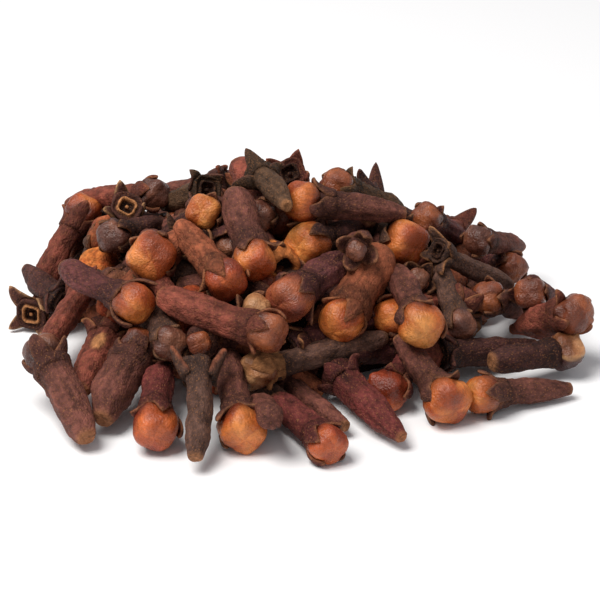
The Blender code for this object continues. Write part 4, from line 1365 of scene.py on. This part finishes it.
def squared(turn, power):
    """How far out a rounded square reaches in each direction, against a circle."""
    return (np.abs(np.cos(turn)) ** power + np.abs(np.sin(turn)) ** power) ** (-1.0 / power)


def add_globe(piece, clove, draw):
    """The bud: four petals that overlap like a spiral, smooth on a plump one, shrunken on a dry one."""
    reach = clove.reach
    rows, columns = GLOBE_GRID[clove.layer]
    rise = np.linspace(GLOBE_START, math.pi - GLOBE_END, rows)[:, None]
    turn = ring(columns)
    hand = draw.choice((-1.0, 1.0))
    petal = PETALS * turn / (2.0 * math.pi) + hand * PETAL_TURN * rise / math.pi + draw.uniform(0.0, 1.0)
    ramp = hand * (np.mod(petal, 1.0) - 0.5)
    # Where the petals meet: a mask for painted shade in the seams
    seam_shade_mask = np.exp(-((np.minimum(np.mod(petal, 1.0), 1.0 - np.mod(petal, 1.0)) / SEAM_WIDTH) ** 2))
    window = np.sin(rise) ** 2
    power = draw.uniform(*SQUARENESS)
    square = (1.0 + np.sin(rise) * (squared(turn, power) - 1.0)) * squared(rise, power)
    ball = ball_of(rise, turn)
    start = draw.uniform(*PHASES)
    wander = FIBRE_WANDER * noise(ball * FIBRE_NOISE + clove.offset)
    fibres = np.cos(FIBRES * turn + start + wander) * window
    dents = noise(ball * clove.bud / DENT_SIZE[clove.kind] + clove.offset)
    fine = noise(ball * clove.bud / GRAIN_SIZE + clove.offset)
    swell = 1.0 + PETAL_STEP[clove.kind] * ramp * window + DENT_DEPTH[clove.kind] * dents
    swell = swell + FINE_DEPTH * fine + FIBRE_DEPTH * fibres
    swell = swell * (1.0 + SQUARE_SHARE * (square - 1.0)) * GLOBE_SIZE
    size = clove.bud * SMALLER.get(clove.name, 1.0)
    local = size * swell[..., None] * ball * (1.0, 1.0, draw.uniform(*GLOBE_FLAT)) + (0.0, 0.0, reach)
    # The lighter colour partly stands for painted highlights; the low one is painted shade and also
    # darker patches
    middle, light_tone_and_highlight, low = (linear(tone) for tone in GLOBES[clove.look[1]])
    patchy = noise(ball * GLOBE_PATCHES + 3.0 * clove.offset)
    # Lighter in random patches, and a painted highlight across each petal
    tints = mix(middle, light_tone_and_highlight, BRIGHT_ALL + BRIGHT_PATCHES * patchy + PETAL_HIGHLIGHT * hand * ramp)
    # Painted shade near the calyx and in the seams, with darker patches at random
    under = np.clip((CALYX_SHADE_FROM - rise) / CALYX_SHADE_FADE, 0.0, 1.0)
    shade_and_dark_patches = SEAM_SHADE * seam_shade_mask * window + CALYX_SHADE * under + LOW_PATCHES * np.clip(-patchy, 0, 1)
    tints = mix(tints, low, np.clip(shade_and_dark_patches, 0, LOW_AT_MOST))
    # Painted shade in the dents, the fibres' grooves and the fine grain, lighter on their rises
    shade = 1.0 + SHADE_DENTS * dents + SHADE_FIBRES * fibres + SHADE_FINE * fine
    tints = np.clip(tints * shade[..., None], 0.0, 1.0)
    spots = in_heap(clove, local)
    if clove.name == CAPPED:
        height = (spots[..., 2] - clove.head[2]) / clove.bud
        tints = mix(linear(TONES["dark"]), tints, height * CAP_SHARP)
        tints = mix(tints, linear(TONES["pale"]), 1.0 - np.abs(height - CAP_RIM) * CAP_RIM_SHARP)
    piece.add(spots, tints, grain_of(clove, local))


def dress_cloves(cloves):
    """Gives each clove its look, its bend and a place in the noise."""
    draw = random.Random(SEED)
    for clove in cloves:
        if clove.name:
            clove.look = LOOKS[clove.name]
        elif clove.kind == "open":
            clove.look = (draw.choice(FILL_STEMS), draw.choice(FILL_EDGES))
        else:
            globes = FILL_GLOBES if clove.kind == "bud" else FILL_DRY
            clove.look = (draw.choice(FILL_STEMS), draw.choice(globes))
        turn = draw.uniform(0.0, 2.0 * math.pi)
        bow = draw.uniform(*BOW)
        clove.bow = (bow * math.cos(turn), bow * math.sin(turn))
        clove.offset = np.array([draw.uniform(0.0, NOISE_SPAN) for _ in range(3)])
        foot_share = draw.uniform(*FOOT_WIDTH)
        clove.foot_share = FEET.get(clove.name, foot_share)
        if clove.name in CLOSED_UP:
            clove.kind = "shut"
        if clove.name in SET_BACK:
            line = clove.head - EYE - TO_CENTRE
            line /= np.linalg.norm(line)
            clove.head = clove.head + SET_BACK[clove.name][0] * line
            clove.foot = clove.foot + SET_BACK[clove.name][1] * line


def add_clove(pieces, clove, draw):
    inner = clove.layer == "inner"
    stems, globes, sepals = ("inner",) * 3 if inner else (clove.kind, "globes", "sepals")
    add_stem(pieces[stems], clove, draw)
    for quarter in range(0 if clove.name in BARE_HEADS else 4):
        if quarter not in BROKEN.get(clove.name, ()):
            add_sepal(pieces[sepals], clove, quarter, draw)
    if clove.kind != "open":
        add_globe(pieces[globes], clove, draw)


def add_core(piece):
    """The hidden middle: an uneven dark mound, near-black as a painted shade, which closes the gaps
    between the cloves.
    """
    rise = np.linspace(CORE_END, math.pi - CORE_END, CORE_ROWS)[:, None]
    ball = ball_of(rise, ring(CORE_COLUMNS))
    spots = CORE_MIDDLE + TO_CENTRE + CORE_SHARE * CORE_HALF * ball
    lumps = noise(spots / CORE_LUMP_SIZE)
    spots = spots + CORE_LUMP * lumps[..., None] * ball
    # Near-black, a painted shade for the deep gaps, a little mottled
    tints = linear(TONES["core"]) * (1.0 + CORE_MOTTLE * lumps)[..., None]
    grains = spots.copy()
    piece.add(above_floor(spots), tints, grains)


def shader(name, bump, mottling, specks, rough, gloss):
    """A dry skin: the surface's own tint, mottled, flecked with tan and finely grained."""
    material = bpy.data.materials.new(name)
    material.use_nodes = True
    nodes = material.node_tree.nodes
    links = material.node_tree.links
    surface = nodes["Principled BSDF"]
    surface.inputs["Specular IOR Level"].default_value = gloss

    def attribute(of):
        node = nodes.new("ShaderNodeAttribute")
        node.attribute_name = of
        return node

    grain = attribute("grain").outputs["Vector"]
    tint = attribute("tint").outputs["Color"]

    def grainy(scale, detail):
        node = nodes.new("ShaderNodeTexNoise")
        node.inputs["Scale"].default_value = scale
        node.inputs["Detail"].default_value = detail
        links.new(grain, node.inputs["Vector"])
        return node.outputs["Fac"]

    def spread(value, from_range, to_range):
        node = nodes.new("ShaderNodeMapRange")
        for socket, number in zip(RANGE_SOCKETS, from_range + to_range):
            node.inputs[socket].default_value = number
        links.new(value, node.inputs["Value"])
        return node.outputs["Result"]

    def blended(kind, factor, one, other):
        node = nodes.new("ShaderNodeMix")
        node.data_type = "RGBA"
        node.blend_type = kind
        for socket, value in ((0, factor), (6, one), (7, other)):
            if isinstance(value, bpy.types.NodeSocket):
                links.new(value, node.inputs[socket])
            else:
                node.inputs[socket].default_value = value
        return node.outputs[2]

    mottle = spread(grainy(MOTTLE_SCALE, MOTTLE_DETAIL), MOTTLE_RANGE, mottling)
    mottled = blended("MULTIPLY", 1.0, tint, mottle)
    fleck = spread(grainy(FLECK_SCALE, FLECK_DETAIL), FLECK_RANGE, (0.0, specks))
    flecked = blended("MIX", fleck, mottled, (*linear(TONES["tan"]), 1.0))
    links.new(flecked, surface.inputs["Base Color"])
    uneven = spread(grainy(FLECK_SCALE, FLECK_DETAIL), ROUGH_RANGE, rough)
    links.new(uneven, surface.inputs["Roughness"])
    relief = nodes.new("ShaderNodeBump")
    relief.inputs["Strength"].default_value = bump
    relief.inputs["Distance"].default_value = BUMP_HEIGHT * MM
    links.new(grainy(BUMP_SCALE, BUMP_DETAIL), relief.inputs["Height"])
    links.new(relief.outputs["Normal"], surface.inputs["Normal"])
    return material


def lay_floor():
    bpy.ops.mesh.primitive_plane_add(size=FLOOR_SIDE, location=(0.0, 0.0, -FLOOR_GAP * MM))
    floor = bpy.context.object
    floor.name = "floor"
    material = bpy.data.materials.new("white_table")
    material.use_nodes = True
    surface = material.node_tree.nodes["Principled BSDF"]
    surface.inputs["Base Color"].default_value = FLOOR_WHITE
    surface.inputs["Roughness"].default_value = 1.0
    surface.inputs["Specular IOR Level"].default_value = 0.0
    floor.data.materials.append(material)
    floor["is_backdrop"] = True


def light_scene():
    """Soft light from a wide lamp overhead, a little in front and to the left, and from all round."""
    world = bpy.data.worlds.new("studio")
    world.use_nodes = True
    background = world.node_tree.nodes["Background"]
    background.inputs["Color"].default_value = ROOM_LIGHT
    background.inputs["Strength"].default_value = ROOM_STRENGTH
    bpy.context.scene.world = world
    for name, place, side, power in LAMPS:
        data = bpy.data.lights.new(name, "AREA")
        data.size = side
        data.energy = power
        data.color = LAMP_COLOUR
        lamp = bpy.data.objects.new(name, data)
        lamp.location = place
        lamp.rotation_euler = (-Vector(place)).to_track_quat("-Z", "Y").to_euler()
        bpy.context.scene.collection.objects.link(lamp)
    bpy.context.scene.view_settings.view_transform = "Standard"


def set_camera():
    data = bpy.data.cameras.new("camera")
    data.sensor_width = SENSOR_WIDTH
    data.lens = SENSOR_WIDTH * FOCAL_PIXELS / (2.0 * PICTURE_MIDDLE)
    camera = bpy.data.objects.new("camera", data)
    camera.location = (EYE + TO_CENTRE) * MM
    camera.rotation_euler = (0.5 * math.pi - VIEW_ELEVATION, 0.0, 0.0)
    bpy.context.scene.collection.objects.link(camera)
    bpy.context.scene.camera = camera


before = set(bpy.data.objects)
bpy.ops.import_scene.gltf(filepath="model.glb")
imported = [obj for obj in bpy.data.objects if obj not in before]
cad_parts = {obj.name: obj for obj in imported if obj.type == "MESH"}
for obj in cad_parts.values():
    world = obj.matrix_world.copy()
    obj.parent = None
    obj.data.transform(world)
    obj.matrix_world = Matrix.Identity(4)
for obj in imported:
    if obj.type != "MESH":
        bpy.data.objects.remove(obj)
cad_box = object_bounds()

cloves = lay_out_heap()
dress_cloves(cloves)
pieces = {name: Piece() for name in ("bud", "shut", "open", "globes", "sepals", "inner", "core")}
draw = random.Random(SEED)
for clove in cloves:
    add_clove(pieces, clove, draw)
add_core(pieces["core"])

stem_skin = shader("stem_skin", **STEM_SKIN)
globe_skin = shader("globe_skin", **GLOBE_SKIN)
pieces["bud"].build("budded_stems", stem_skin)
pieces["shut"].build("dry_headed_stems", stem_skin)
pieces["open"].build("open_stems", stem_skin)
pieces["globes"].build("globes", globe_skin)
pieces["sepals"].build("sepals", stem_skin)
pieces["inner"].build("hidden_cloves", stem_skin)
pieces["core"].build("heap_core_painted_shade", stem_skin)

lay_floor()
light_scene()
set_camera()

boxes = {"cad": cad_box, "visual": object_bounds()}
{name: [list(corner) for corner in box] for name, box in boxes.items()}
